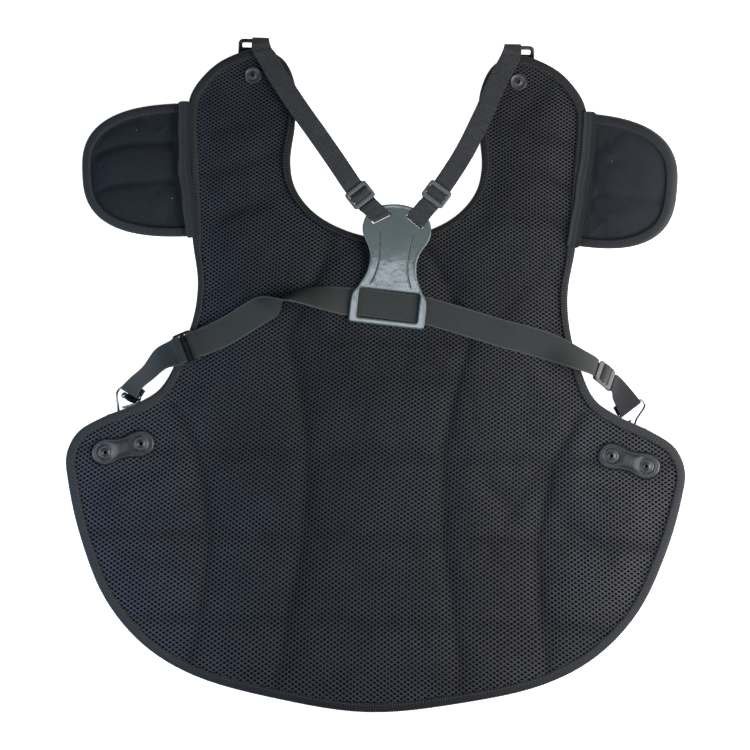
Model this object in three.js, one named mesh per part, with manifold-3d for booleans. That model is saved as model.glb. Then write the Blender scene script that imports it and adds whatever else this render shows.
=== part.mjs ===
// Catcher's chest protector, lying on its outer face with the mesh-lined inner face up.
// Millimetres: +Z is up, +Y runs to the shoulders, +X to the wearer's right hand.
import * as THREE from "three";
import { mergeVertices } from "three/addons/utils/BufferGeometryUtils.js";
import Module from "manifold-3d";

const wasm = await Module();
wasm.setup();

const table = (columns, rows) =>
  rows.map((row) => Object.fromEntries(columns.map((name, i) => [name, row[i]])));

// Half of the pad's outline, from the middle of the neck round to the middle of the hem
const HALF_OUTLINE = table(["across", "up"], [
  [0, 124], [35, 130.5], [63.9, 146], [81, 167], [86, 190], [82.6, 225], [83, 258], [94.5, 282],
  [117, 291], [149.4, 280], [168, 263], [177.3, 247], [179.3, 229], [176.4, 181], [172.6, 121],
  [166.6, 80], [169.2, 49], [178, 20], [195, -15.8], [217, -30.6], [247.5, -44], [268.2, -57.6],
  [277.5, -78], [275, -104], [263, -151], [239.4, -206], [204, -246.6], [157.5, -273.6],
  [80, -293], [0, -302.6],
]);
const OUTLINE_STEPS = 2; // stations for each point of the outline
const SKEW = table(["up", "across"], [[-320, -1.2], [-120, 0], [0, 0], [60, 2.3], [320, 2.3]]); // as it lies

// Pad section
const RIM_HALF = 3.5; // half the thickness of the flattened edge
const INNER_PUFF = 6;
const OUTER_PUFF = 14;
const RIM_HEIGHT = 15; // middle of the edge above the surface that the pad lies on
const RIM_BAND = 21; // flat band along the edge
const RIM_RISE = 24; // how far in from that band the pad reaches its full thickness
const SEAM_REACH = 15; // how far a quilt seam draws the pad in
const SEAM_DEPTH = 0.85; // share of the puff that a seam takes away
const SEAT_REACH = 23; // pad pressed flat round a rivet
const SEAT_RISE = 18;

// How the lying pad curls: the slope at which each edge lifts, where that starts, and its bend
const SIDE_LIFT = { slope: 0.19, from: 130, bend: 45 };
const SHOULDER_LIFT = { slope: 0.07, from: 110, bend: 40 };
const HEM_LIFT = { slope: 0.08, from: 190, bend: 40 };

// Long quilt seams: how far each lies from the middle line, from the hem up
const LONG_SEAMS = table(["up", "inner", "outer"], [
  [-312, 86, 172], [-224, 76, 154], [-148, 63, 147], [-73, 61, 160], [-28, 67, 184],
  [-1, 73, 190], [32, 82, 184], [75, 64, 178], [122, 40, 180], [150, 62, 182], [185, 84, 184],
  [312, 84, 190],
]);
const INNER_SEAM_TOP = 122;
const OUTER_SEAM_TOP = -28;
const PAD_REACH = 300; // half width of the grid that the pad is cut from
const COLUMNS = [4, 6, 7]; // grid columns from the middle to the inner seam, outer seam and edge

// Cross seams: height where they pass SEAM_PIVOT, slope, the stretch that is sewn, grid rows above
const SEAM_PIVOT = 128;
const CROSS_SEAMS = table(["up", "slope", "from", "to", "rows"], [
  [-312, 0, 0, 0, 6], [-224, 0, 0, 300, 5], [-148, 0, 0, 300, 5], [-73, 0, 0, 300, 5],
  [-1, 0, 0, 74, 2], [32, 0, 0, 83, 8], [149, -0.3, 60, 200, 3], [186, -0.3, 60, 200, 3],
  [223, -0.3, 60, 200, 5], [312, -0.3, 0, 0, 0],
]);

// Tapes
const GAP = 0.4; // clearance between pieces that touch
const TALL = 100; // more than any piece's height, for cutting right through
const TAPE = 1.3;
const BINDING_WIDTH = 9.5;
const BINDING_EASE = 1; // extra room between a folded tape and the faces under it
const BINDING_TOP = RIM_HALF + GAP + BINDING_EASE + TAPE; // from the middle of the pad's edge
const FOLD = { round: 1, drop: 0.2, flat: 0.7 }; // how a tape's folded edge is rounded
const SEAM_TAPE_WIDTH = 10.6;

// Shoulder caps
const CAP = { depth: 92, half: 60, roundness: 2.7, rim: 2.5, puff: 3.5, band: 8, rise: 22, steps: 14 };
const CAP_GRID = [7, 9];
const CAP_CLEARANCE = { left: 0.9, right: 2.4 }; // from the pad's edge
const CAP_SINK = -0.6; // middle of the cap's inner edge above the middle of the pad's edge
const HINGE = { across: 176.4, up: 181, half: 61, lean: 3.6, climb: 4.3 };
const CAP_CREASES = { left: [22, -12], right: [-11] }; // along the hinge
const CREASE = { depth: 0.6, reach: 9 };
const CAP_LIFT = { left: -5, right: 25 }; // degrees

// Sliders, loops, eyes and rivets
const SLIDER = { thick: 2.4, bar: 3.2, middleBar: 2.4, slot: 4.6, corner: 2.4, slotCorner: 0.8 };
const SLIDER_PITCH = (SLIDER.bar + SLIDER.middleBar) / 2 + SLIDER.slot; // middle bar to outer bar
const RIVET = { head: 7.8, washer: 5, washerThick: 1.8, post: 2, hole: 3.3 };
const RIVET_CROWN = table(["share", "height"], [
  [1, 0], [1, 1], [0.8, 2.3], [0.36, 2.5], [0.28, 1.5], [0, 1.4],
]);
const SHOULDER_RIVET = { across: 119.3, up: 267.8 };
const FLANK_RIVETS = table(["across", "up"], [[212.4, -66.2], [244.4, -74.7]]);
const FLANK_PLATE = { end: 12.3, waist: 9.9, thick: 3 };
const LOOP = { width: 27, foot: -11, top: 31.8, corner: 4 };
const LOOP_BEND = { from: 21.5, to: 28.5, height: -4.8, tip: -4.4 };
const LOOP_SLOT = { width: 21.4, from: 24, to: 29, corner: 1.5 };
const EYE = { width: 26, top: 30, corner: 3, bendFrom: 11, bendTo: 18, drop: 13.4 };
const EYE_SLOT = { width: 19, from: 20.5, to: 26.5, corner: 1.5 };
const ROUND_SIDES = 10; // of rivets and their holes
const ARC_STEPS = { plate: 2, flank: 3, slider: 1, wire: 4 };

// Back plate: its place, its outline from the foot up, and how it bows
const BACK_PLATE = { across: 6, up: 45.4, under: 26.9, turn: -5, thick: 3.2, steps: 4 };
const PLATE_SIDE = table(["half", "along"], [
  [33.8, 24], [28.5, 34], [23, 46], [21.3, 58], [23.5, 68],
  [29, 78], [31, 87], [28, 98], [19, 106], [0, 109.6],
]);
const PLATE_FOOT = { half: 34.4, corner: 3 };
const PLATE_WINDOW = { width: 55, from: 5, to: 31.5, corner: 2 };
const PLATE_SLOT = { across: 15, along: 95.4, length: 21.5, width: 4.6, corner: 1.8, turn: 33, ease: 0.2 };
const PLATE_CROWN = 1.8; // height of the plate where its slots are
const PLATE_BEND = [[-2, 0], [36, 0], [60, 1.4], [85, PLATE_CROWN], [112, 1.6]]; // along, height

// Straps. A row of a route gives the strap's middle, the compass bearing of its width,
// how far that edge is raised and the share of the full width that is left where it is gathered.
const WEB = { width: 17.5, thick: 1.4, tail: 9 };
const ELASTIC = { width: 25, thick: 1.4, tail: 9 };
const STRAP_STEPS = 2; // stations for each row of a route
const FOLD_STEPS = 6; // stations round a bar
const WEAVE_HEIGHT = 2.2; // how far a strap rises over a slider's middle bar
const WEAVE = table(["past", "lift"], [
  [-1.5, 0], [-1.22, -1], [-0.76, -1], [-0.5, 0], [-0.22, 1],
  [0.22, 1], [0.5, 0], [0.76, -1], [1.22, -1], [1.5, 0],
]);
const ROUTE = ["x", "y", "z", "bearing", "raised", "gather"];
const LOOP_TURN = table(["along", "rise", "across", "bearing", "gather"], [
  [25.8, -1.9, 4.6, 0, 0.62], [26.3, -4.2, 4.6, 0, 0.62], [27.8, -6.4, 4.6, 0, 0.62],
  [30.6, -7, 4.6, 0, 0.62], [33.5, -5.6, 4.6, 0, 0.64], [33.8, -3, 4.6, 0, 0.68],
  [30.9, -1.2, 4.8, 4, 0.74], [28, 1.2, 5.4, 8, 0.84], [25.3, 5.8, 6.4, 12, 0.94], [22.2, 9.2, 7.8, 16, 1],
]);
const SHOULDER_ROUTES = {
  left: table(ROUTE, [
    [-107.5, 284, 34.2, 24, 0, 1], [-98, 268.5, 34.6, 35, 0, 1], [-78, 239.5, 34.4, 37, 0, 1],
    [-49.5, 201.5, 33.6, 37, 0, 1], [-20.3, 162, 33, 36, 0, 1], [-9.5, 150.5, 33, 32, 0, 1],
  ]),
  right: table(ROUTE, [
    [109, 284, 34.2, -20, 0, 1], [101.5, 269, 34.6, -28, 0, 1], [88, 236.5, 34.4, -29, 0, 1],
    [70, 198.5, 33.6, -32, 0, 1], [48.3, 164.5, 33, -35, 0, 1], [39.3, 152.5, 33, -37, 0, 1],
  ]),
};
const SHOULDER_SLIDER_ROW = 4;
const WAIST_ROUTE = table(ROUTE, [
  [-223, -19, 16.5, -28, 48], [-218, -12.5, 18, -34, 54], [-207, -2.5, 21, -46, 54],
  [-195, 10.5, 26.5, -58, 36], [-172.5, 20.5, 31, -62, 16], [-149, 31, 28, -60, 4],
  [-133, 39.5, 27, -60, 0], [-108, 56, 29, -64, -12],
  [-96.5, 61.5, 33.8, -52, -40], [-86.5, 66, 38.6, 0, -90], [-75.6, 69.5, 37.4, 80, -66],
  [-54, 69, 33.4, 86, -36], [-32, 66.5, 26.4, 86, -4], [-20, 66.2, 25.7, 85, 0], [10, 63.4, 25.7, 85, 0],
  [40, 60.2, 25.7, 83, 0], [54.5, 56.5, 25.8, 80, 0], [106, 42.5, 25.8, 77, 0], [152, 30.5, 27.6, 74, -4],
  [178, 20.5, 31, 62, -28], [204, 6, 23.5, 48, -46], [219, -10, 19, 42, -36], [228, -23, 13.4, 38, -25],
]);
const WAIST_SLIDER_ROWS = { left: 4, right: 20 };

// Wire hooks at the waist strap's ends
const WIRE = { radius: 1.3, steps: 30 };
const HOOK_POINT = table(["along", "rise"], [
  [28.6, -17], [26.4, -16.9], [23.7, -13.4], [25.6, -10], [29, -9.7],
]);
const HOOK_SHANK = { along: 36, rise: -14.5 };
const HOOK_LEGS = { near: 2, far: -1.6, length: 6.5, dip: 6 }; // the far leg dips under the pad's edge
const HOOK_BAR = [0.05, 0.2, 0.8, 0.95]; // shares of the bar where the wire turns and runs straight

const LOOKS = {
  lining: { color: 0x2b3036, roughness: 0.9, metalness: 0 },
  capCloth: { color: 0x20262a, roughness: 0.85, metalness: 0 },
  tape: { color: 0x25292b, roughness: 0.8, metalness: 0 },
  webbing: { color: 0x35393b, roughness: 0.75, metalness: 0 },
  greyPlastic: { color: 0x59615f, roughness: 0.35, metalness: 0 },
  blackPlastic: { color: 0x15181a, roughness: 0.25, metalness: 0 },
  rivetMetal: { color: 0x23282b, roughness: 0.3, metalness: 0.6 },
  chrome: { color: 0xc4c8cc, roughness: 0.12, metalness: 1 },
};

const radians = THREE.MathUtils.degToRad;
const mix = THREE.MathUtils.lerp;
const ramp = (value) => THREE.MathUtils.smoothstep(value, 0, 1);
const vector = (x, y, z) => new THREE.Vector3(x, y, z);

const protector = new THREE.Group();
protector.name = "catcher_chest_protector";

function addPiece(name, geometry, look, parent = protector) {
  const piece = new THREE.Mesh(geometry, new THREE.MeshStandardMaterial(LOOKS[look]));
  piece.name = name;
  parent.add(piece);
  return piece;
}

// Solids: joining, cutting and facing outwards

function bare(geometry) {
  const copy = geometry.clone();
  copy.deleteAttribute("normal");
  copy.deleteAttribute("uv");
  return mergeVertices(copy);
}

function toSolid(geometry) {
  const closed = bare(geometry);
  const vertProperties = new Float32Array(closed.attributes.position.array);
  const triVerts = new Uint32Array(closed.index.array);
  return new wasm.Manifold(new wasm.Mesh({ numProp: 3, vertProperties, triVerts }));
}

function fromSolid(solid) {
  const { vertProperties, triVerts } = solid.getMesh();
  const geometry = new THREE.BufferGeometry();
  geometry.setAttribute("position", new THREE.BufferAttribute(vertProperties, 3));
  geometry.setIndex(new THREE.BufferAttribute(triVerts, 1));
  return geometry;
}

function facingOut(points, faces) {
  const volume = faces.reduce((sum, [a, b, c]) => {
    const normal = points[b].clone().cross(points[c]);
    return sum + points[a].dot(normal);
  }, 0);
  const ordered = volume < 0 ? faces.map(([a, b, c]) => [a, c, b]) : faces;
  const geometry = new THREE.BufferGeometry().setFromPoints(points);
  geometry.setIndex(ordered.flat());
  return geometry;
}

// A solid through rings of points, either closed on itself or capped with the section's own faces
function loft(rings, section, closed = false) {
  const count = section.length;
  const faces = [];
  const spans = closed ? rings.length : rings.length - 1;
  for (let r = 0; r < spans; r++) {
    const here = r * count;
    const there = ((r + 1) % rings.length) * count;
    for (let k = 0; k < count; k++) {
      const next = (k + 1) % count;
      const [a, b, c, d] = [here + k, here + next, there + next, there + k];
      // Both faces of a twisted strip are split along the same diagonal
      if (section[next].x > section[k].x) faces.push([a, b, d], [b, c, d]);
      else faces.push([a, b, c], [a, c, d]);
    }
  }
  if (!closed) {
    const last = (rings.length - 1) * count;
    for (const [a, b, c] of THREE.ShapeUtils.triangulateShape(section, [])) {
      faces.push([c, b, a], [last + a, last + b, last + c]);
    }
  }
  return facingOut(rings.flat(), faces);
}

function flatPlate(plan, depth, curveSegments) {
  return new THREE.ExtrudeGeometry(plan, { depth, bevelEnabled: false, curveSegments });
}

// A sheet of even thickness, cut to a plan and bent along a profile of [along, height] points
function bentPlate(plan, profile, thick) {
  const upper = profile.map(([along, height]) => new THREE.Vector2(along, height + thick / 2));
  const lower = profile.map(([along, height]) => new THREE.Vector2(along, height - thick / 2));
  const side = new THREE.Shape([...upper, ...lower.reverse()]);
  const sheet = new THREE.ExtrudeGeometry(side, { depth: 2 * TALL, bevelEnabled: false });
  sheet.translate(0, 0, -TALL);
  sheet.applyMatrix4(new THREE.Matrix4().makeBasis(vector(0, 1, 0), vector(0, 0, 1), vector(1, 0, 0)));
  const prism = flatPlate(plan, 2 * TALL, ARC_STEPS.plate).translate(0, 0, -TALL);
  return fromSolid(toSolid(sheet).intersect(toSolid(prism)));
}

function circleHole(x, y, radius) {
  const corners = Array.from({ length: ROUND_SIDES }, (_, i) => {
    const angle = (-2 * Math.PI * i) / ROUND_SIDES;
    return new THREE.Vector2(x + radius * Math.cos(angle), y + radius * Math.sin(angle));
  });
  return new THREE.Path(corners);
}

function roundedBox(path, left, bottom, width, height, radius) {
  const right = left + width;
  const top = bottom + height;
  path.moveTo(left + radius, bottom);
  path.absarc(right - radius, bottom + radius, radius, -Math.PI / 2, 0);
  path.absarc(right - radius, top - radius, radius, 0, Math.PI / 2);
  path.absarc(left + radius, top - radius, radius, Math.PI / 2, Math.PI);
  path.absarc(left + radius, bottom + radius, radius, Math.PI, 1.5 * Math.PI);
  return path;
}

// The outline and the lying shape

const mirrored = HALF_OUTLINE.slice(1, -1).reverse().map(({ across, up }) => ({ across: -across, up }));
const skewAt = (up) => rowBetween(SKEW, "up", up).across;
const outlineKnots = [...HALF_OUTLINE, ...mirrored].map(({ across, up }) =>
  vector(across + skewAt(up), up, 0),
);
const outlineCurve = new THREE.CatmullRomCurve3(outlineKnots, true);
const outline = outlineCurve
  .getPoints(outlineKnots.length * OUTLINE_STEPS)
  .slice(0, -1)
  .map(({ x, y }) => new THREE.Vector2(x, y));

// Points moved in from a loop that runs clockwise, seen from above
function inset(loop, distance, closed = true) {
  return loop.map((point, i) => {
    const before = closed ? loop.at(i - 1) : loop[Math.max(i - 1, 0)];
    const after = closed ? loop[(i + 1) % loop.length] : loop[Math.min(i + 1, loop.length - 1)];
    const along = after.clone().sub(before).normalize();
    return new THREE.Vector2(point.x + along.y * distance, point.y - along.x * distance);
  });
}

function stretchDistance(x, y, from, to) {
  const spanX = to.x - from.x;
  const spanY = to.y - from.y;
  const length = spanX * spanX + spanY * spanY || 1;
  const share = THREE.MathUtils.clamp(((x - from.x) * spanX + (y - from.y) * spanY) / length, 0, 1);
  return Math.hypot(x - from.x - share * spanX, y - from.y - share * spanY);
}

function isInside(x, y, loop) {
  const crossings = loop.filter((point, i) => {
    const next = loop[(i + 1) % loop.length];
    if (point.y > y === next.y > y) return false;
    return x < point.x + ((y - point.y) * (next.x - point.x)) / (next.y - point.y);
  });
  return crossings.length % 2 === 1;
}

// How far a point lies in from a loop, or nothing outside it
function edgeDistance(x, y, loop) {
  if (!isInside(x, y, loop)) return 0;
  return Math.min(...loop.map((point, i) => stretchDistance(x, y, point, loop[(i + 1) % loop.length])));
}

function lifted(reach, { slope, from, bend }) {
  const past = Math.max(reach - from, 0);
  return slope * (past < bend ? (past * past) / (2 * bend) : past - bend / 2);
}

// Height of the middle of the pad's edge, or of the surface that would join it across the pad
function restHeight(x, y) {
  return RIM_HEIGHT + lifted(Math.abs(x), SIDE_LIFT) + lifted(y, SHOULDER_LIFT) + lifted(-y, HEM_LIFT);
}

// A group on that surface with its own Z square to it, for what is riveted there
function seatAt(x, y) {
  const step = 1;
  const slopeX = (restHeight(x + step, y) - restHeight(x - step, y)) / (2 * step);
  const slopeY = (restHeight(x, y + step) - restHeight(x, y - step)) / (2 * step);
  const seat = new THREE.Group();
  seat.position.set(x, y, restHeight(x, y));
  seat.quaternion.setFromUnitVectors(vector(0, 0, 1), vector(-slopeX, -slopeY, 1).normalize());
  protector.add(seat);
  seat.updateMatrixWorld(true);
  return seat;
}

// Pad

function rowBetween(rows, key, value) {
  const last = rows.findIndex((row) => row[key] > value);
  const above = rows[last < 1 ? rows.length - 1 : last];
  const below = rows[rows.indexOf(above) - 1];
  const share = THREE.MathUtils.clamp((value - below[key]) / (above[key] - below[key]), 0, 1);
  return Object.fromEntries(Object.keys(below).map((name) => [name, mix(below[name], above[name], share)]));
}

function columnPlace(index, up) {
  const seam = rowBetween(LONG_SEAMS, "up", up);
  const bounds = [0, seam.inner, seam.outer, PAD_REACH];
  let left = Math.abs(index);
  for (const [section, count] of COLUMNS.entries()) {
    if (left <= count) return Math.sign(index) * mix(bounds[section], bounds[section + 1], left / count);
    left -= count;
  }
  return Math.sign(index) * PAD_REACH;
}

function rowPlace(index) {
  let left = index;
  for (const [k, seam] of CROSS_SEAMS.slice(0, -1).entries()) {
    const next = CROSS_SEAMS[k + 1];
    if (left <= seam.rows) {
      const share = left / seam.rows;
      return { up: mix(seam.up, next.up, share), slope: mix(seam.slope, next.slope, share) };
    }
    left -= seam.rows;
  }
  return CROSS_SEAMS.at(-1);
}

function padGrid() {
  const half = COLUMNS.reduce((sum, count) => sum + count, 0);
  const rows = CROSS_SEAMS.reduce((sum, seam) => sum + seam.rows, 0);
  const grid = bare(new THREE.BoxGeometry(2 * half, rows, 2, 2 * half, rows, 1));
  const places = grid.attributes.position;
  for (let i = 0; i < places.count; i++) {
    const { up, slope } = rowPlace(Math.round(places.getY(i) + rows / 2));
    const x = columnPlace(Math.round(places.getX(i)), up);
    places.setX(i, x);
    places.setY(i, up + slope * (Math.abs(x) - SEAM_PIVOT));
  }
  return grid;
}

const rivetPlaces = [];
const seatStretches = [];
for (const side of [-1, 1]) {
  const [inner, outer] = FLANK_RIVETS.map(({ across, up }) => new THREE.Vector2(side * across, up));
  const shoulder = new THREE.Vector2(side * SHOULDER_RIVET.across, SHOULDER_RIVET.up);
  rivetPlaces.push(inner, outer, shoulder);
  seatStretches.push([inner, outer], [shoulder, shoulder]);
}

// Share of the full puff at a point: none on the edge and under rivets, little along the seams
function puffAt(x, y) {
  const across = Math.abs(x);
  const seam = rowBetween(LONG_SEAMS, "up", y);
  const gaps = CROSS_SEAMS.filter(({ from, to }) => across >= from && across < to).map(
    ({ up, slope }) => y - up - slope * (across - SEAM_PIVOT),
  );
  if (y < INNER_SEAM_TOP) gaps.push(across - seam.inner);
  if (y < OUTER_SEAM_TOP) gaps.push(across - seam.outer);
  const sewn = gaps.reduce((puff, gap) => puff * (1 - SEAM_DEPTH * Math.exp(-((gap / SEAM_REACH) ** 2))), 1);
  const seated = seatStretches.reduce(
    (puff, [from, to]) => puff * ramp((stretchDistance(x, y, from, to) - SEAT_REACH) / SEAT_RISE),
    1,
  );
  return sewn * seated * ramp((edgeDistance(x, y, outline) - RIM_BAND) / RIM_RISE);
}

// A flat grid with its two faces moved to their heights, then cut to a plan
function quilted(grid, plan, upper, lower) {
  const raised = bare(grid);
  const places = raised.attributes.position;
  for (let i = 0; i < places.count; i++) {
    const face = places.getZ(i) > 0 ? upper : lower;
    places.setZ(i, face(places.getX(i), places.getY(i)));
  }
  const prism = flatPlate(plan, 2 * TALL, ARC_STEPS.plate).translate(0, 0, -TALL);
  return fromSolid(toSolid(raised).intersect(toSolid(prism)));
}

function bodyPad() {
  const plan = new THREE.Shape(inset(outline, TAPE + 2 * GAP).reverse());
  plan.holes = rivetPlaces.map(({ x, y }) => circleHole(x, y, RIVET.hole));
  const upper = (x, y) => restHeight(x, y) + RIM_HALF + INNER_PUFF * puffAt(x, y);
  const lower = (x, y) => Math.max(restHeight(x, y) - RIM_HALF - OUTER_PUFF * puffAt(x, y), 0);
  return quilted(padGrid(), plan, upper, lower);
}

// Tape folded over an edge: distance in from the outer line, and height from the middle
function foldedTape(half) {
  const inner = half + GAP + BINDING_EASE;
  const outer = inner + TAPE;
  const wall = TAPE + GAP / 2;
  return [
    [BINDING_WIDTH, outer], [FOLD.round, outer - FOLD.drop], [0, half * FOLD.flat],
    [0, -half * FOLD.flat], [FOLD.round, FOLD.drop - outer], [BINDING_WIDTH, -outer],
    [BINDING_WIDTH, -inner], [wall, -inner], [wall, inner], [BINDING_WIDTH, inner],
  ].map(([inward, height]) => new THREE.Vector2(inward, height));
}

function edgeTape(loop, half, height, closed) {
  const section = foldedTape(half);
  const lines = section.map(({ x }) => inset(loop, x, closed));
  const rings = loop.map((_, i) =>
    section.map(({ y }, k) => vector(lines[k][i].x, lines[k][i].y, height(lines[k][i].x, lines[k][i].y) + y)),
  );
  return loft(rings, section, closed);
}

addPiece("body_pad", bodyPad(), "lining");
addPiece("body_binding", edgeTape(outline, RIM_HALF, restHeight, true), "tape");

// Shoulder caps

function capEdge(side) {
  const points = [];
  for (let i = 0; i <= CAP.steps; i++) {
    const angle = Math.PI / 2 - (Math.PI * i) / CAP.steps;
    const out = Math.max(Math.cos(angle), 0) ** (2 / CAP.roundness) * CAP.depth;
    const along = Math.sign(Math.sin(angle)) * Math.abs(Math.sin(angle)) ** (2 / CAP.roundness) * CAP.half;
    points.push(new THREE.Vector2(side * out, along));
  }
  return side > 0 ? points : points.reverse();
}

function capPad(side, creases) {
  const edge = capEdge(side);
  const within = inset(edge, TAPE + 2 * GAP, false);
  const grid = new THREE.BoxGeometry(CAP.depth, 2 * CAP.half, 2, ...CAP_GRID, 1);
  grid.translate((side * CAP.depth) / 2, 0, 0);
  const puff = (x, y) => {
    const full = creases.reduce((puffed, crease) => {
      const past = (y - crease) / CREASE.reach;
      return puffed * (1 - CREASE.depth * Math.exp(-(past ** 2)));
    }, CAP.puff);
    return full * ramp((edgeDistance(x, y, edge) - CAP.band) / CAP.rise);
  };
  const upper = (x, y) => CAP.rim + puff(x, y);
  const lower = (x, y) => -CAP.rim - puff(x, y);
  return quilted(grid, new THREE.Shape(within), upper, lower);
}

function shoulderCap(name, side) {
  const hinge = new THREE.Group();
  const across = side * (HINGE.across + CAP_CLEARANCE[name]) + skewAt(HINGE.up);
  hinge.position.set(across, HINGE.up, restHeight(across, HINGE.up) + CAP_SINK);
  const tilt = [HINGE.climb, -side * CAP_LIFT[name], -side * HINGE.lean].map(radians);
  hinge.rotation.set(...tilt);
  protector.add(hinge);
  addPiece(`${name}_shoulder_cap`, capPad(side, CAP_CREASES[name]), "capCloth", hinge);
  addPiece(`${name}_cap_binding`, edgeTape(capEdge(side), CAP.rim, () => 0, false), "tape", hinge);
}

// Straps

function strapFrames(route, steps) {
  const middles = new THREE.CatmullRomCurve3(route.map(({ x, y, z }) => vector(x, y, z)));
  const widths = route.map(({ bearing, raised, gather = 1 }) => {
    const level = Math.cos(radians(raised));
    const [turn, lean] = [radians(bearing), radians(raised)];
    return vector(Math.cos(turn) * level, Math.sin(turn) * level, Math.sin(lean)).multiplyScalar(gather);
  });
  const sides = new THREE.CatmullRomCurve3(widths, false, "catmullrom");
  const count = (route.length - 1) * steps;
  return Array.from({ length: count + 1 }, (_, i) => {
    const middle = middles.getPoint(i / count);
    const along = middles.getTangent(i / count);
    const side = sides.getPoint(i / count);
    return { middle, along, side, normal: along.clone().cross(side).normalize() };
  });
}

// The strap carried round a bar at the end of its frames and back along its other face;
// a negative drop turns it up instead of down
function foldedBack(frames, drop, tail) {
  const end = frames.at(-1);
  const bend = Array.from({ length: FOLD_STEPS }, (_, k) => {
    const angle = (Math.PI * (k + 1)) / FOLD_STEPS;
    const middle = end.middle
      .clone()
      .addScaledVector(end.normal, ((Math.cos(angle) - 1) * drop) / 2)
      .addScaledVector(end.along, (Math.sin(angle) * Math.abs(drop)) / 2);
    const outward = Math.sin(angle) * Math.sign(drop);
    const normal = end.normal.clone().multiplyScalar(Math.cos(angle)).addScaledVector(end.along, outward);
    return { middle, side: end.side, normal };
  });
  const under = frames
    .slice(0, -1)
    .reverse()
    .filter(({ middle }) => middle.distanceTo(end.middle) < tail)
    .map(({ middle, side, normal }) => ({
      middle: middle.clone().addScaledVector(normal, -drop),
      side,
      normal: normal.clone().negate(),
    }));
  return [...frames, ...bend, ...under];
}

// A route carried under a slider's outer bars and over its middle one, at one of its rows
function woven(route, row) {
  const frames = strapFrames(route, 1);
  const { middle, along, normal } = frames[row];
  const square = normal.clone().cross(along);
  const bearing = THREE.MathUtils.radToDeg(Math.atan2(square.y, square.x));
  const raised = THREE.MathUtils.radToDeg(Math.asin(square.z));
  const rows = WEAVE.map(({ past, lift }) => {
    const place = middle.clone().addScaledVector(along, past * SLIDER_PITCH);
    place.addScaledVector(normal, lift * WEAVE_HEIGHT);
    return { x: place.x, y: place.y, z: place.z, bearing, raised };
  });
  return { route: [...route.slice(0, row), ...rows, ...route.slice(row + 1)], place: frames[row] };
}

function strap(frames, { width, thick }) {
  const section = [[1, 1], [-1, 1], [-1, -1], [1, -1]].map(([across, up]) => new THREE.Vector2(across, up));
  const rings = frames.map(({ middle, side, normal }) =>
    section.map(({ x, y }) =>
      middle.clone().addScaledVector(side, (x * width) / 2).addScaledVector(normal, (y * thick) / 2),
    ),
  );
  return loft(rings, section);
}

// The tape over the hinge leans half as much as a cap that is lifted
function seamTape(name, side) {
  const climb = radians(HINGE.lean);
  const tilt = Math.max(CAP_LIFT[name], 0) / 2;
  const clear = 1.5 * GAP + TAPE / 2 + (SEAM_TAPE_WIDTH / 2) * Math.sin(radians(tilt));
  const rows = [-1, -0.5, 0, 0.5, 1].map((share) => {
    const y = HINGE.up + share * HINGE.half;
    const x = side * (HINGE.across + share * HINGE.half * Math.tan(climb)) + skewAt(y);
    const z = restHeight(x, y) + BINDING_TOP + clear;
    return { x, y, z, bearing: -side * HINGE.lean, raised: side * tilt };
  });
  return strap(strapFrames(rows, STRAP_STEPS), { width: SEAM_TAPE_WIDTH, thick: TAPE });
}

for (const [name, side] of [["left", -1], ["right", 1]]) {
  shoulderCap(name, side);
  addPiece(`${name}_cap_seam_tape`, seamTape(name, side), "tape");
}

// Rivets and what they hold

function rivet(under, over) {
  const crown = RIVET_CROWN.map(({ share, height }) => [share * RIVET.head, over + height]);
  const profile = [
    [0, -under - RIVET.washerThick], [RIVET.washer, -under - RIVET.washerThick], [RIVET.washer, -under],
    [RIVET.post, -under], [RIVET.post, over], ...crown,
  ].map(([radius, height]) => new THREE.Vector2(radius, height));
  return new THREE.LatheGeometry(profile, ROUND_SIDES).rotateX(Math.PI / 2);
}

function slotPath({ width, from, to, corner }) {
  return roundedBox(new THREE.Path(), -width / 2, from, width, to - from, corner);
}

function shoulderLoop() {
  const { width, foot, top, corner } = LOOP;
  const { from, to, height, tip } = LOOP_BEND;
  const plan = roundedBox(new THREE.Shape(), -width / 2, foot, width, top - foot, corner);
  plan.holes = [slotPath(LOOP_SLOT), circleHole(0, 0, RIVET.post + GAP)];
  const seated = -(BINDING_TOP + GAP + SLIDER.thick / 2);
  const profile = [[foot - 1, seated], [from, seated], [to, height], [top + 1, tip]];
  return bentPlate(plan, profile, SLIDER.thick);
}

const [flankInner, flankOuter] = FLANK_RIVETS;
const flankHalf = Math.hypot(flankOuter.across - flankInner.across, flankOuter.up - flankInner.up) / 2;

// A plate with round ends and a narrower waist, with a hole at each end
function flankPlan() {
  const half = flankHalf;
  const { end, waist } = FLANK_PLATE;
  const plan = new THREE.Shape();
  plan.absarc(half, 0, end, -Math.PI / 2, Math.PI / 2);
  plan.bezierCurveTo(half / 2, end, half / 2, waist, 0, waist);
  plan.bezierCurveTo(-half / 2, waist, -half / 2, end, -half, end);
  plan.absarc(-half, 0, end, Math.PI / 2, 1.5 * Math.PI);
  plan.bezierCurveTo(-half / 2, -end, -half / 2, -waist, 0, -waist);
  plan.bezierCurveTo(half / 2, -waist, half / 2, -end, half, -end);
  plan.holes = [-half, half].map((x) => circleHole(x, 0, RIVET.post + GAP));
  return plan;
}

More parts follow.
